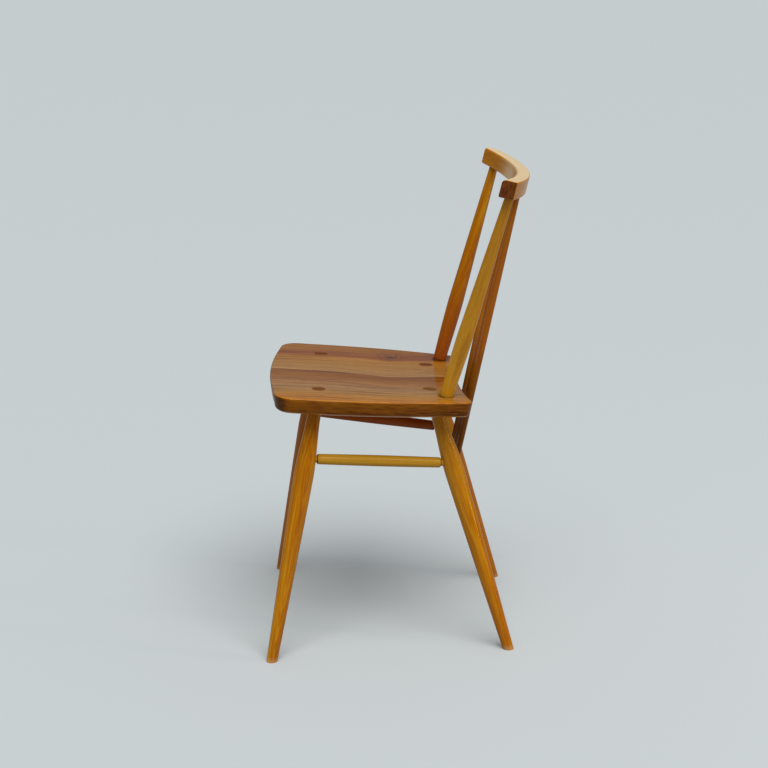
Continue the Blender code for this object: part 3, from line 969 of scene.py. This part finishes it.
@dataclass(frozen=True)
class LegSizes:
    """Line of one leg, from its foot on the floor to its tenon in the seat."""

    foot_half_spread: float
    foot_y: float
    tenon_half_spread: float
    tenon_y: float
    foot_diameter: float = 0.01776
    swell_diameter: float = 0.0328
    swell_at: float = 0.68
    taper_power: float = 1.08
    tenon_diameter: float = 0.022
    neck: float = 0.012

    def foot(self) -> Vector:
        """Foot of the right leg."""
        return Vector((self.foot_half_spread, self.foot_y + DATUM_SHIFT, 0.0))

    def tenon(self) -> Vector:
        """Top of the right leg, in the seat's top plane."""
        return SEAT.top(self.tenon_half_spread, self.tenon_y)

    def length(self) -> float:
        """Length of the leg's axis."""
        return (self.tenon() - self.foot()).length

    def seat_fall(self) -> float:
        """Length of the leg that lies in the seat."""
        return SEAT.thickness * self.length() / (self.tenon() - self.foot()).z

    def diameter(self, distance: float) -> float:
        """Diameter at a distance from the foot.

        Args:
            distance: Distance along the axis.

        Returns:
            A long taper up to the swell, then a quicker one to the tenon.
        """
        length = self.length()
        swell = length * self.swell_at
        if distance <= swell:
            share = 1 - (1 - max(0.0, distance / swell)) ** self.taper_power
            return mix(self.foot_diameter, self.swell_diameter, share)
        neck_start = length - self.seat_fall() - self.neck
        share = min(1.0, (distance - swell) / (neck_start - swell))
        ease = (1 - math.cos(math.pi * share)) / 2
        return mix(self.swell_diameter, self.tenon_diameter, ease)

    def at_height(self, height: float) -> Vector:
        """Point of the right leg's axis at a height above the floor."""
        return mix(self.foot(), self.tenon(), height / self.tenon().z)

    def reach_out(self, point: Vector, rod_along: Vector, rod_diameter: float) -> float:
        """Length of a rod's tenon, from the leg's axis until its shoulder is clear.

        Args:
            point: Where the rod's axis meets the leg's.
            rod_along: Direction of the rod.
            rod_diameter: Its tenon's diameter.

        Returns:
            That length.
        """
        along = (self.tenon() - self.foot()).normalized()
        lean = abs(along.dot(rod_along))
        level = (point - self.foot()).length
        radius = rod_diameter / 2
        thickest = max(self.diameter(level - radius), self.diameter(level + radius))
        return (thickest / 2 + radius * lean) / math.sqrt(1 - lean**2) + FIT_GAP


FRONT_LEG = LegSizes(0.2105, -0.1845, 0.1163, -0.1059)
REAR_LEG = LegSizes(0.1655, 0.2056, 0.0798, 0.0762)


@dataclass(frozen=True)
class WedgeSizes:
    """Saw cut for the wedge in a leg's tenon."""

    depth: float = 0.019
    thickness: float = 0.003
    tip: float = 0.0012
    allowance: float = 0.020


@dataclass
class LegPair:
    """The right leg of a row, turned and trimmed, and its copy on the left."""

    row: str
    sizes: LegSizes
    seed: int
    tones_and_shade: dict[Hand, ToneAndShade]
    wedge: WedgeSizes = field(default_factory=WedgeSizes)

    def saw_kerf(self, item: bpy.types.Object) -> None:
        """Saw the slot that the wedge is driven into.

        Args:
            item: The right leg.
        """
        deselect()
        bpy.ops.mesh.primitive_cube_add(size=1.0)
        cutter = bpy.context.object
        slope = (self.wedge.thickness - self.wedge.tip) / self.wedge.depth
        high = self.wedge.allowance
        low = -self.wedge.depth - FIT_GAP
        breadth = self.sizes.tenon_diameter + self.wedge.allowance
        with editing(cutter):
            for sign, level in ((1, high), (-1, low)):
                width = self.wedge.thickness + slope * level + 2 * FIT_GAP
                pick(cutter, Pick.FACE, lambda face: face.normal.z * sign > 0.5)
                bpy.ops.transform.translate(value=(0.0, 0.0, level - sign / 2))
                bpy.ops.transform.resize(
                    value=(width, breadth, 1.0), center_override=(0.0, 0.0, level)
                )
        foot, tenon = self.sizes.foot(), self.sizes.tenon()
        place = axis_frame(foot, tenon) @ Matrix.Translation((0.0, 0.0, self.sizes.length()))
        settle(cutter, place)
        cut(item, cutter)

    def build(self, finish: bpy.types.Material) -> None:
        """Turn, trim, dress and copy.

        Args:
            finish: The wood's finish.
        """
        sizes = self.sizes
        foot, tenon = sizes.foot(), sizes.tenon()
        spare = self.wedge.allowance
        neck = sizes.length() - sizes.seat_fall()
        turning = Turning(
            f"turned_{self.row}_leg_right",
            foot,
            tenon,
            lambda distance: sizes.diameter(distance) + LEG_SNUG * (distance > neck - sizes.neck),
            -spare,
            sizes.length() + spare,
            extra=(neck - sizes.neck, neck - 0.002, neck, neck + 0.002),
            joints=(neck,),
        )
        right = turning.build()
        trim(right, SEAT.top(0.0, 0.0), SEAT.normal())
        trim(right, Vector((0.0, 0.0, 0.0)), Vector((0.0, 0.0, -1.0)))
        self.saw_kerf(right)
        turning.pair(right, self.seed, self.tones_and_shade, finish)


@dataclass
class OuterSticks:
    """The two thick sticks from the seat to the rail."""

    sizes: StickSizes
    seed: int
    tones_and_shade: dict[Hand, ToneAndShade]

    def build(self, finish: bpy.types.Material) -> None:
        """Turn the right one, dress it and copy it.

        Args:
            finish: The wood's finish.
        """
        sizes = self.sizes
        base = SEAT.top(sizes.seat_half_spread, sizes.seat_y)
        under = RAIL.under(sizes.rail_half_spread)
        along = (under - base).normalized()
        start = base - along * sizes.seat_depth
        end = under + along * RAIL.stick_depth
        length = (end - start).length
        seat_end = sizes.seat_depth
        rail_start = length - RAIL.stick_depth
        swell = mix(seat_end, rail_start, sizes.swell_at)

        def diameter(distance: float) -> float:
            """Thick low down, drawn in at the seat, with a long taper to the rail."""
            if distance <= seat_end:
                return sizes.foot_diameter
            if distance <= swell:
                ease = math.sin((distance - seat_end) / (swell - seat_end) * math.pi / 2)
                return mix(sizes.foot_diameter, sizes.swell_diameter, ease)
            share = min(1.0, (distance - swell) / (rail_start - swell))
            return mix(sizes.swell_diameter, sizes.top_diameter, share)

        turning = Turning(
            "turned_outer_stick_right",
            start,
            end,
            diameter,
            0.0,
            length,
            extra=(seat_end, seat_end + 0.002, rail_start - 0.002, rail_start),
            joints=(seat_end, rail_start),
        )
        turning.pair(turning.build(), self.seed, self.tones_and_shade, finish)


@dataclass
class InnerSticks:
    """Slender sticks that pass behind the seat, from the rear stretcher up to the rail."""

    seed: int
    count: int = 3
    foot_pitch: float = 0.0460
    rail_pitch: float = 0.0580
    middle_diameter: float = 0.0112
    end_diameter: float = 0.0104
    stop: float = 0.002
    foot_height: float = 0.2795
    foot_end: float = 0.00925
    tint: ToneAndShade = (-0.55, -0.35)
    # Painted shade low on the sticks, behind and under the seat: its strength, and where it is full
    # and where it has gone.
    darkening: float = 0.80
    shade_full: float = 0.105
    shade_none: float = 0.235

    def painted_shade(self, distance: float) -> float:
        """Painted shade low down, behind and under the seat."""
        share = (self.shade_none - distance) / (self.shade_none - self.shade_full)
        return self.darkening * min(1.0, max(0.0, share))

    def build(self, finish: bpy.types.Material) -> None:
        """Turn and dress each stick.

        Args:
            finish: The wood's finish.
        """
        foot_y = REAR_LEG.at_height(self.foot_height).y
        for index in range(self.count):
            place = index - (self.count - 1) / 2
            foot = Vector((place * self.foot_pitch, foot_y, self.foot_height))
            under = RAIL.under(place * self.rail_pitch)
            along = (under - foot).normalized()
            start = foot + along * self.stop
            end = under + along * RAIL.stick_depth
            length = (end - start).length
            rail_start = length - RAIL.stick_depth

            def diameter(distance: float) -> float:
                """Straight in its holes and a little thicker half way between them."""
                share = (distance - self.foot_end) / (rail_start - self.foot_end)
                ease = math.sin(math.pi * min(1.0, max(0.0, share)))
                return mix(self.end_diameter, self.middle_diameter, ease)

            turning = Turning(
                f"turned_inner_stick_{index + 1}",
                start,
                end,
                diameter,
                0.0,
                length,
                extra=(self.foot_end, rail_start),
                joints=(self.foot_end, rail_start),
                painted_shade=self.painted_shade,
            )
            item = turning.build()
            turning.dress(item, 1, self.seed + index, self.tint)
            declare(item, f"inner_stick_{index + 1}", Slot.BEECH, finish)


@dataclass
class Stretchers:
    """The two side stretchers and the rear one, tenoned into the legs."""

    seed: int
    front_height: float = 0.3238
    rear_height: float = 0.3040
    cross_height: float = 0.2795
    side_diameters: tuple[float, float] = (0.0170, 0.0184)
    cross_diameters: tuple[float, float] = (0.0165, 0.0185)
    tenon_diameter: float = 0.0115
    shoulder: float = 0.003
    stop: float = 0.0035
    round_steps: int = 6
    # The left stretcher is painted much darker: painted shade from the seat above it.
    tones_and_shade: dict[Hand, ToneAndShade] = field(
        default_factory=lambda: {Hand.RIGHT: (0.60, 0.60), Hand.LEFT: (-0.90, -0.90)}
    )
    cross_tint: ToneAndShade = (-0.2, -0.2)
    joint_depth: float = 0.35

    def turning(
        self, name: str, ends: Sequence[tuple[Vector, LegSizes]], diameters: tuple[float, float]
    ) -> Turning:
        """Work out a stretcher between two legs.

        Args:
            name: Name of the piece.
            ends: Where the axis meets each leg's, with the leg's sizes. X is taken as on the
                right for the reach.
            diameters: Diameter at the ends and in the middle.

        Returns:
            The piece, ready to turn.
        """
        (start, _), (end, _) = ends
        along = (end - start).normalized()
        flipped = Vector((-along.x, along.y, along.z))
        near, far = (
            leg.reach_out(self.right_side(point), self.aim(point, along, flipped), self.tenon_diameter)
            for point, leg in ends
        )
        tip = start + along * self.stop
        far_tip = end - along * self.stop
        length = (far_tip - tip).length
        near_end = near - self.stop
        far_end = length - (far - self.stop)
        end_diameter, middle_diameter = diameters

        def diameter(distance: float) -> float:
            """Tenon, quarter-round shoulder and a slightly bulged body."""
            inset = min(distance - near_end, far_end - distance)
            if inset <= 0.0:
                return self.tenon_diameter
            if inset < self.shoulder:
                rise = math.sqrt(1 - (1 - inset / self.shoulder) ** 2)
                return mix(self.tenon_diameter, end_diameter, rise)
            share = (distance - near_end) / (far_end - near_end)
            return mix(end_diameter, middle_diameter, math.sin(math.pi * share))

        shoulders = []
        for step in range(self.round_steps + 1):
            inset = self.shoulder * (1 - math.cos(step / self.round_steps * math.pi / 2))
            shoulders += [near_end + inset, far_end - inset]
        return Turning(
            name,
            tip,
            far_tip,
            diameter,
            0.0,
            length,
            extra=tuple(shoulders),
            joints=(near_end, far_end),
            joint_depth=self.joint_depth,
        )

    @staticmethod
    def right_side(point: Vector) -> Vector:
        """The same point on the right of the chair."""
        return Vector((abs(point.x), point.y, point.z))

    @staticmethod
    def aim(point: Vector, along: Vector, flipped: Vector) -> Vector:
        """Direction of the rod as the right leg meets it."""
        return along if point.x >= 0 else flipped

    def build(self, finish: bpy.types.Material) -> None:
        """Turn and dress the stretchers.

        Args:
            finish: The wood's finish.
        """
        ends = (
            (FRONT_LEG.at_height(self.front_height), FRONT_LEG),
            (REAR_LEG.at_height(self.rear_height), REAR_LEG),
        )
        side = self.turning("turned_side_stretcher_right", ends, self.side_diameters)
        side.pair(side.build(), self.seed, self.tones_and_shade, finish)
        point = REAR_LEG.at_height(self.cross_height)
        ends = ((point * Vector((-1.0, 1.0, 1.0)), REAR_LEG), (point, REAR_LEG))
        cross = self.turning("turned_rear_stretcher", ends, self.cross_diameters)
        item = cross.build()
        cross.dress(item, 1, self.seed + 5, self.cross_tint)
        declare(item, "rear_stretcher", Slot.BEECH, finish)


@dataclass
class SeatBoard:
    """The seat, sawn to its outline, undercut and rounded over."""

    sizes: SeatSizes
    bow_cuts: int = 15
    recess_cuts: int = 31
    corner_steps: int = 14
    corner_profile: float = 0.5625
    top_steps: int = 5
    bottom_steps: int = 6
    rim_guard: float = 0.002
    merge_reach: float = 0.0003
    panel_corners: int = 60
    drill_spare: float = 0.02

    def is_panel(self, face: Any, sign: int) -> bool:
        """Whether a face is the large flat one above, 1, or below, -1."""
        return face.normal.z * sign > LEVEL_COSINE and len(face.verts) > self.panel_corners

    def draw_outline(self, item: bpy.types.Object) -> None:
        """Shape a plane into the seat's plan, with soft corners.

        Args:
            item: A unit plane, open in edit mode.
        """
        sizes = self.sizes
        front_line = sizes.front_bow - sizes.front
        bpy.ops.mesh.select_all(action="SELECT")
        deep = sizes.rear - front_line
        bpy.ops.transform.resize(value=(2 * sizes.front_half_width, deep, 1.0))
        bpy.ops.transform.translate(value=(0.0, (sizes.rear + front_line) / 2, 0.0))
        pick(item, Pick.VERT, lambda vert: vert.co.y > 0)
        narrow = sizes.rear_half_width / sizes.front_half_width
        bpy.ops.transform.resize(value=(narrow, 1.0, 1.0), center_override=(0.0, sizes.rear, 0.0))
        for line, reach in ((front_line, sizes.front_corner), (sizes.rear, sizes.rear_corner)):
            pick(item, Pick.VERT, lambda vert: abs(vert.co.y - line) < TINY)
            bpy.ops.mesh.bevel(
                affect="VERTICES",
                offset=reach,
                segments=self.corner_steps,
                profile=self.corner_profile,
                clamp_overlap=False,
            )

    def bow(
        self,
        item: bpy.types.Object,
        wanted: Callable[[Any], bool],
        cuts: int,
        push: Callable[[float], Vector],
    ) -> None:
        """Divide one straight edge of the outline and bow it.

        Args:
            item: The plan, open in edit mode.
            wanted: Picks the edge.
            cuts: How many points it gets.
            push: Move of a point, from its place along the edge, 0 to 1 from low to high Y or X.
        """
        pick(item, Pick.EDGE, wanted)
        shape = bmesh.from_edit_mesh(item.data)
        edge = next(edge for edge in shape.edges if edge.select)
        low, high = (vert.co.copy() for vert in edge.verts)
        run = high - low
        bpy.ops.mesh.subdivide(number_cuts=cuts)
        for step in range(1, cuts + 1):
            place = low + run * step / (cuts + 1)
            pick(item, Pick.VERT, lambda vert: (vert.co - place).length < TINY)
            bpy.ops.transform.translate(value=push(step / (cuts + 1)))

    def bow_edges(self, item: bpy.types.Object) -> None:
        """Bow the front and the sides outwards and hollow the rear.

        Args:
            item: The plan, open in edit mode.
        """
        sizes = self.sizes
        front_line = sizes.front_bow - sizes.front
        across = (sizes.rear_half_width - sizes.front_half_width, sizes.rear - front_line)
        side_run = Vector((*across, 0.0)).normalized()

        def parabola(share: float) -> float:
            """Height of a bow, 1 in the middle."""
            return 4 * share * (1 - share)

        def level(at: float) -> Callable[[Any], bool]:
            """Test for the long straight edge at a depth."""
            return lambda edge: all(abs(vert.co.y - at) < TINY for vert in edge.verts)

        self.bow(
            item,
            level(front_line),
            self.bow_cuts,
            lambda share: Vector((0.0, -sizes.front_bow * parabola(share), 0.0)),
        )
        self.bow(
            item,
            level(sizes.rear),
            self.recess_cuts,
            lambda share: Vector((0.0, -sizes.recess * parabola(share), 0.0)),
        )
        for sign in (1, -1):
            out = Vector((sign * side_run.y, -side_run.x, 0.0))
            self.bow(
                item,
                lambda edge: edge.calc_length() > sizes.rear and edge.verts[0].co.x * sign > 0,
                self.bow_cuts,
                lambda share: out * sizes.side_bow * parabola(share),
            )

    def build(self, finish: bpy.types.Material) -> None:
        """Shape, drill and dress the seat.

        Args:
            finish: The wood's finish.
        """
        sizes = self.sizes
        deselect()
        bpy.ops.mesh.primitive_plane_add(size=1.0)
        item = bpy.context.object
        item.name = "shaped_seat"
        with editing(item):
            self.draw_outline(item)
            self.bow_edges(item)
            bpy.ops.mesh.select_mode(type="FACE")
            bpy.ops.mesh.select_all(action="SELECT")
            bpy.ops.mesh.flip_normals()
            bpy.ops.mesh.inset(thickness=sizes.undercut, depth=sizes.thickness, use_even_offset=True)
            pick(item, Pick.EDGE, lambda edge: edge.is_boundary)
            bpy.ops.mesh.edge_face_add()
            bpy.ops.mesh.select_all(action="SELECT")
            bpy.ops.mesh.normals_make_consistent(inside=False)
            rims = (
                (-1, sizes.bottom_round, self.bottom_steps),
                (1, sizes.top_round, self.top_steps),
            )
            for sign, radius, steps in rims:
                pick(item, Pick.FACE, lambda face: face.normal.z * sign > FLAT_COSINE)
                bpy.ops.mesh.region_to_loop()
                bpy.ops.mesh.bevel(
                    affect="EDGES", offset=radius, segments=steps, clamp_overlap=False
                )
                bpy.ops.mesh.select_all(action="SELECT")
                bpy.ops.mesh.remove_doubles(threshold=self.merge_reach)
                pick(item, Pick.FACE, lambda face: self.is_panel(face, sign))
                bpy.ops.mesh.inset(thickness=self.rim_guard)
        settle(item, sizes.frame())
        self.drill(item)
        soften(item, SMOOTH_ANGLE)
        declare(item, "seat", Slot.ELM, finish)

    def drill(self, item: bpy.types.Object) -> None:
        """Drill the holes of the legs and the outer sticks.

        Args:
            item: The seat in its place.
        """
        spare = self.drill_spare
        for leg in (FRONT_LEG, REAR_LEG):
            foot, tenon = leg.foot(), leg.tenon()
            along = (tenon - foot).normalized()
            low = tenon - along * (leg.seat_fall() + spare)
            high = tenon + along * spare
            self.bore_pair(item, low, high, leg.tenon_diameter + 2 * FIT_GAP)
        base = SEAT.top(OUTER_STICK.seat_half_spread, OUTER_STICK.seat_y)
        along = (RAIL.under(OUTER_STICK.rail_half_spread) - base).normalized()
        low = base - along * (OUTER_STICK.seat_depth + FIT_GAP)
        high = base + along * spare
        self.bore_pair(item, low, high, OUTER_STICK.foot_diameter + 2 * FIT_GAP)

    @staticmethod
    def bore_pair(item: bpy.types.Object, low: Vector, high: Vector, diameter: float) -> None:
        """Drill a hole on the right and the same one on the left.

        Args:
            item: The seat in its place.
            low: Lower end of the right hole.
            high: Upper end of the right hole.
            diameter: Width of the holes.
        """
        for hand in (Hand.RIGHT, Hand.LEFT):
            side = Vector((hand.value, 1.0, 1.0))
            bore(item, low * side, high * side, diameter)


@dataclass
class TopRail:
    """The bent top rail, swept round its arc."""

    sizes: RailSizes
    seed: int
    tint: float = 0.10
    arc_step: float = math.radians(0.785)
    arc_steps: int = 33
    edge_steps: int = 5
    end_reach: float = 0.003

    def build(self, finish: bpy.types.Material) -> None:
        """Sweep, trim, round and dress the rail.

        Args:
            finish: The wood's finish.
        """
        sizes = self.sizes
        centre = (0.0, -sizes.back_radius(), 0.0)
        deselect()
        bpy.ops.mesh.primitive_plane_add(size=1.0, rotation=(0.0, math.pi / 2, 0.0))
        item = bpy.context.object
        item.name = "bent_top_rail"
        settle(item, item.matrix_world.copy())
        with editing(item):
            bpy.ops.mesh.select_all(action="SELECT")
            bpy.ops.transform.resize(value=(1.0, sizes.thickness, sizes.height))
            bpy.ops.transform.translate(value=(0.0, -sizes.thickness / 2, -sizes.height / 2))
            self.round_corners(item)
            bpy.ops.mesh.select_all(action="SELECT")
            bpy.ops.mesh.delete(type="ONLY_FACE")
            bpy.ops.mesh.select_all(action="SELECT")
            sweep = self.arc_step * self.arc_steps
            bpy.ops.mesh.spin(
                steps=self.arc_steps, angle=-sweep, center=centre, axis=(0.0, 0.0, 1.0)
            )
        side = 1.0 if max(vert.co.x for vert in item.data.vertices) > 0.1 else -1.0
        trim(item, Vector((side * sizes.half_length, 0.0, 0.0)), Vector((side, 0.0, 0.0)))
        mirror = item.modifiers.new("other_half", "MIRROR")
        mirror.merge_threshold = TINY
        activate(item)
        bpy.ops.object.modifier_apply(modifier=mirror.name)
        with editing(item):
            bpy.ops.mesh.select_all(action="SELECT")
            bpy.ops.mesh.normals_make_consistent(inside=False)
            pick(item, Pick.EDGE, self.runs_out)
            bpy.ops.mesh.dissolve_edges(use_verts=True)
            pick(item, Pick.FACE, lambda face: abs(face.normal.x) > FLAT_COSINE)
            bpy.ops.mesh.region_to_loop()
            bpy.ops.mesh.bevel(
                affect="EDGES", offset=sizes.end_round, segments=self.edge_steps, clamp_overlap=False
            )
        settle(item, sizes.frame())
        self.dress(item)
        declare(item, "top_rail", Slot.BEECH, finish)

    def runs_out(self, edge: Any) -> bool:
        """Whether an edge across a flat face meets the rail's end, where it would spoil the rounding.

        Args:
            edge: An edge of the swept rail.

        Returns:
            True for the few edges that have to go.
        """
        flat = all(abs(face.normal.z) > LEVEL_COSINE for face in edge.link_faces)
        middle = sum(abs(vert.co.x) for vert in edge.verts) / 2
        return flat and middle > self.sizes.half_length - self.end_reach

    def round_corners(self, item: bpy.types.Object) -> None:
        """Round the corners of the profile, most of all the front one on top.

        Args:
            item: The profile, open in edit mode.
        """
        sizes = self.sizes
        edge = sizes.thickness - TINY

        def front_top(vert: Any) -> bool:
            """Whether a corner is the front one on top."""
            return vert.co.y < -edge and vert.co.z > -TINY

        def other(vert: Any) -> bool:
            """Whether it is one of the other three."""
            return vert.co.z < TINY - sizes.height or vert.co.y > -TINY

        for wanted, radius in ((other, sizes.edge_round), (front_top, sizes.front_top_round)):
            pick(item, Pick.VERT, wanted)
            bpy.ops.mesh.bevel(affect="VERTICES", offset=radius, segments=self.edge_steps)

    def dress(self, item: bpy.types.Object) -> None:
        """Smooth the rail and store its grain, which follows the bend.

        Args:
            item: The rail in its place.
        """
        sizes = self.sizes
        place = sizes.frame()
        inverse = place.inverted()
        turn = place.to_3x3()
        middle = sizes.front_radius + sizes.thickness / 2

        def local(point: Vector) -> Vector:
            """Radial place, height and length along the bend."""
            flat = inverse @ point
            deep = flat.y + sizes.back_radius()
            radius = math.hypot(flat.x, deep)
            return Vector((radius - sizes.front_radius, flat.z, math.atan2(flat.x, deep) * middle))

        def along(point: Vector) -> Vector:
            """Direction of the bend."""
            flat = inverse @ point
            angle = math.atan2(flat.x, flat.y + sizes.back_radius())
            return turn @ Vector((math.cos(angle), -math.sin(angle), 0.0))

        plank = Vector((self.seed * 0.31, self.seed * 0.17, self.seed * 0.77))
        write_grain(item, local, along, undarkened, plank, lambda point: self.tint)
        soften(item, SMOOTH_ANGLE)


@dataclass
class Wedges:
    """The wedges in the leg tenons, whose solids stay and get their finish."""

    rows: tuple[str, ...] = ("front", "rear")

    def dress(self, finish: bpy.types.Material) -> None:
        """Give the solids their finish.

        Args:
            finish: The wedges' finish.
        """
        for row in self.rows:
            for hand in Hand:
                name = f"{row}_wedge_{hand.name.lower()}"
                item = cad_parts[name]
                for index in range(len(item.material_slots)):
                    item.material_slots[index].material = finish
                logging.info("%s keeps its solid", name)


# The studio


def hang(name: str, lamp: bpy.types.Light, place: Vector, aim: Vector) -> None:
    """Hang a lamp so that it looks at a point.

    Args:
        name: Name of the lamp.
        lamp: Its data.
        place: Where it hangs.
        aim: What it looks at.
    """
    item = bpy.data.objects.new(name, lamp)
    bpy.context.scene.collection.objects.link(item)
    item.location = place
    item.rotation_euler = (aim - place).to_track_quat("-Z", "Y").to_euler()


@dataclass(frozen=True)
class SkyLight:
    """Broad soft light from one side of the ceiling."""

    name: str
    towards: tuple[float, float, float]
    spread: float
    strength: float
    colour: Colour = (1.0, 1.0, 1.0)

    def build(self) -> None:
        """Hang the light."""
        lamp = bpy.data.lights.new(self.name, "SUN")
        lamp.angle = self.spread
        lamp.energy = self.strength
        lamp.color = self.colour
        hang(self.name, lamp, Vector(self.towards), Vector((0.0, 0.0, 0.0)))


@dataclass(frozen=True)
class SoftBox:
    """A tall soft lamp that draws a thin highlight down the turned pieces."""

    name: str
    place: tuple[float, float, float]
    aim: tuple[float, float, float]
    width: float
    height: float
    power: float
    colour: Colour = (1.0, 1.0, 1.0)

    def build(self) -> None:
        """Hang the lamp."""
        lamp = bpy.data.lights.new(self.name, "AREA")
        lamp.shape = "RECTANGLE"
        lamp.size = self.width
        lamp.size_y = self.height
        lamp.energy = self.power
        lamp.color = self.colour
        hang(self.name, lamp, Vector(self.place), Vector(self.aim))


@dataclass
class Studio:
    """Pale floor, soft light and the camera."""

    floor_size: float = 60.0
    floor_shown: Colour = srgb(200, 206, 209)
    floor_bounce: Colour = srgb(142, 142, 138)
    sky_colour: Colour = (0.94, 1.0, 1.03)
    sky_strength: float = 0.38
    mirrored_strength: float = 0.17
    focal_pixels: float = 1800.0
    image_size: int = 768
    sensor: float = 36.0
    camera_place: tuple[float, float, float] = (2.9311, -0.0724, 1.2073)
    camera_yaw: float = -0.0176
    camera_pitch: float = 0.2653
    lights: tuple[SkyLight | SoftBox, ...] = (
        SkyLight("ceiling", (0.45, 0.12, 0.88), math.radians(50), 2.25, (1.0, 0.985, 0.96)),
        SoftBox("left_strip", (1.94, -1.57, 0.75), (0.0, 0.0, 0.5), 0.20, 1.1, 1.5),
        SoftBox(
            "right_strip", (0.75, 2.40, 0.75), (0.0, 0.0, 0.5), 0.18, 1.1, 8.0, (1.0, 0.84, 0.56)
        ),
    )

    def build(self) -> None:
        """Set up the floor, the world, the lamps and the camera."""
        self.lay_floor()
        self.light_world()
        for light in self.lights:
            light.build()
        self.stand_camera()
        view = bpy.context.scene.view_settings
        view.view_transform = "Standard"

    def lay_floor(self) -> None:
        """Lay the plain floor, pale to the eye and in reflections."""
        deselect()
        bpy.ops.mesh.primitive_plane_add(size=self.floor_size)
        floor = bpy.context.object
        floor.name = "studio_floor"
        board = Board("studio_floor_paint")
        rays = [
            board.add("ShaderNodeLightPath", {}, {}, f"Is {kind} Ray")
            for kind in ("Camera", "Glossy", "Transmission")
        ]
        seen = rays[0].math("MAXIMUM", rays[1]).math("MAXIMUM", rays[2])
        colour = board.blend(seen, self.floor_bounce, self.floor_shown)
        inputs = {"Base Color": colour, "Roughness": 0.9, "Specular IOR Level": 0.1}
        shader = board.add("ShaderNodeBsdfPrincipled", {}, inputs)
        floor.data.materials.append(board.finish(shader))

    def light_world(self) -> None:
        """Set the soft light that comes from all round."""
        world = bpy.data.worlds.new("studio_sky")
        world.use_nodes = True
        ground = world.node_tree.nodes["Background"]
        ground.inputs["Color"].default_value = (*self.sky_colour, 1.0)
        rays = world.node_tree.nodes.new("ShaderNodeLightPath")
        level = world.node_tree.nodes.new("ShaderNodeMapRange")
        level.inputs["To Min"].default_value = self.sky_strength
        level.inputs["To Max"].default_value = self.mirrored_strength
        world.node_tree.links.new(rays.outputs["Is Glossy Ray"], level.inputs["Value"])
        world.node_tree.links.new(level.outputs["Result"], ground.inputs["Strength"])
        bpy.context.scene.world = world

    def stand_camera(self) -> None:
        """Stand the camera where the photograph was taken from."""
        lens = bpy.data.cameras.new("camera")
        lens.sensor_width = self.sensor
        lens.lens = self.focal_pixels / self.image_size * self.sensor
        camera = bpy.data.objects.new("camera", lens)
        bpy.context.scene.collection.objects.link(camera)
        yaw, pitch = self.camera_yaw, self.camera_pitch
        level = math.cos(pitch)
        ahead = Vector((-math.cos(yaw) * level, -math.sin(yaw) * level, -math.sin(pitch)))
        right = Vector((-math.sin(yaw), math.cos(yaw), 0.0))
        up = right.cross(ahead)
        rotation = Matrix((right, up, -ahead)).transposed().to_4x4()
        camera.matrix_world = Matrix.Translation(self.camera_place) @ rotation
        bpy.context.scene.camera = camera


def main() -> None:
    """Build every part of the chair in order, then the studio."""
    logging.basicConfig(level=logging.INFO, format="%(message)s")
    elm = Elm().material()
    beech = Beech().material()
    wedge_end = WedgeEnd().material()
    SeatBoard(SEAT).build(elm)
    # The front right leg is painted a little darker towards the seat, as painted shade.
    front_tone_and_shade = {Hand.RIGHT: (0.0, -0.05), Hand.LEFT: (-0.55, -0.45)}
    rear_tone_and_shade = {Hand.RIGHT: (-0.32, 0.38), Hand.LEFT: (-0.3, -0.2)}
    stick_tone_and_shade = {Hand.RIGHT: (0.38, 0.30), Hand.LEFT: (-1.0, 0.30)}
    LegPair("front", FRONT_LEG, 3, front_tone_and_shade).build(beech)
    LegPair("rear", REAR_LEG, 8, rear_tone_and_shade).build(beech)
    Stretchers(13).build(beech)
    OuterSticks(OUTER_STICK, 22, stick_tone_and_shade).build(beech)
    InnerSticks(27).build(beech)
    TopRail(RAIL, 4).build(beech)
    Wedges().dress(wedge_end)
    Studio().build()


if __name__ == "__main__":
    main()
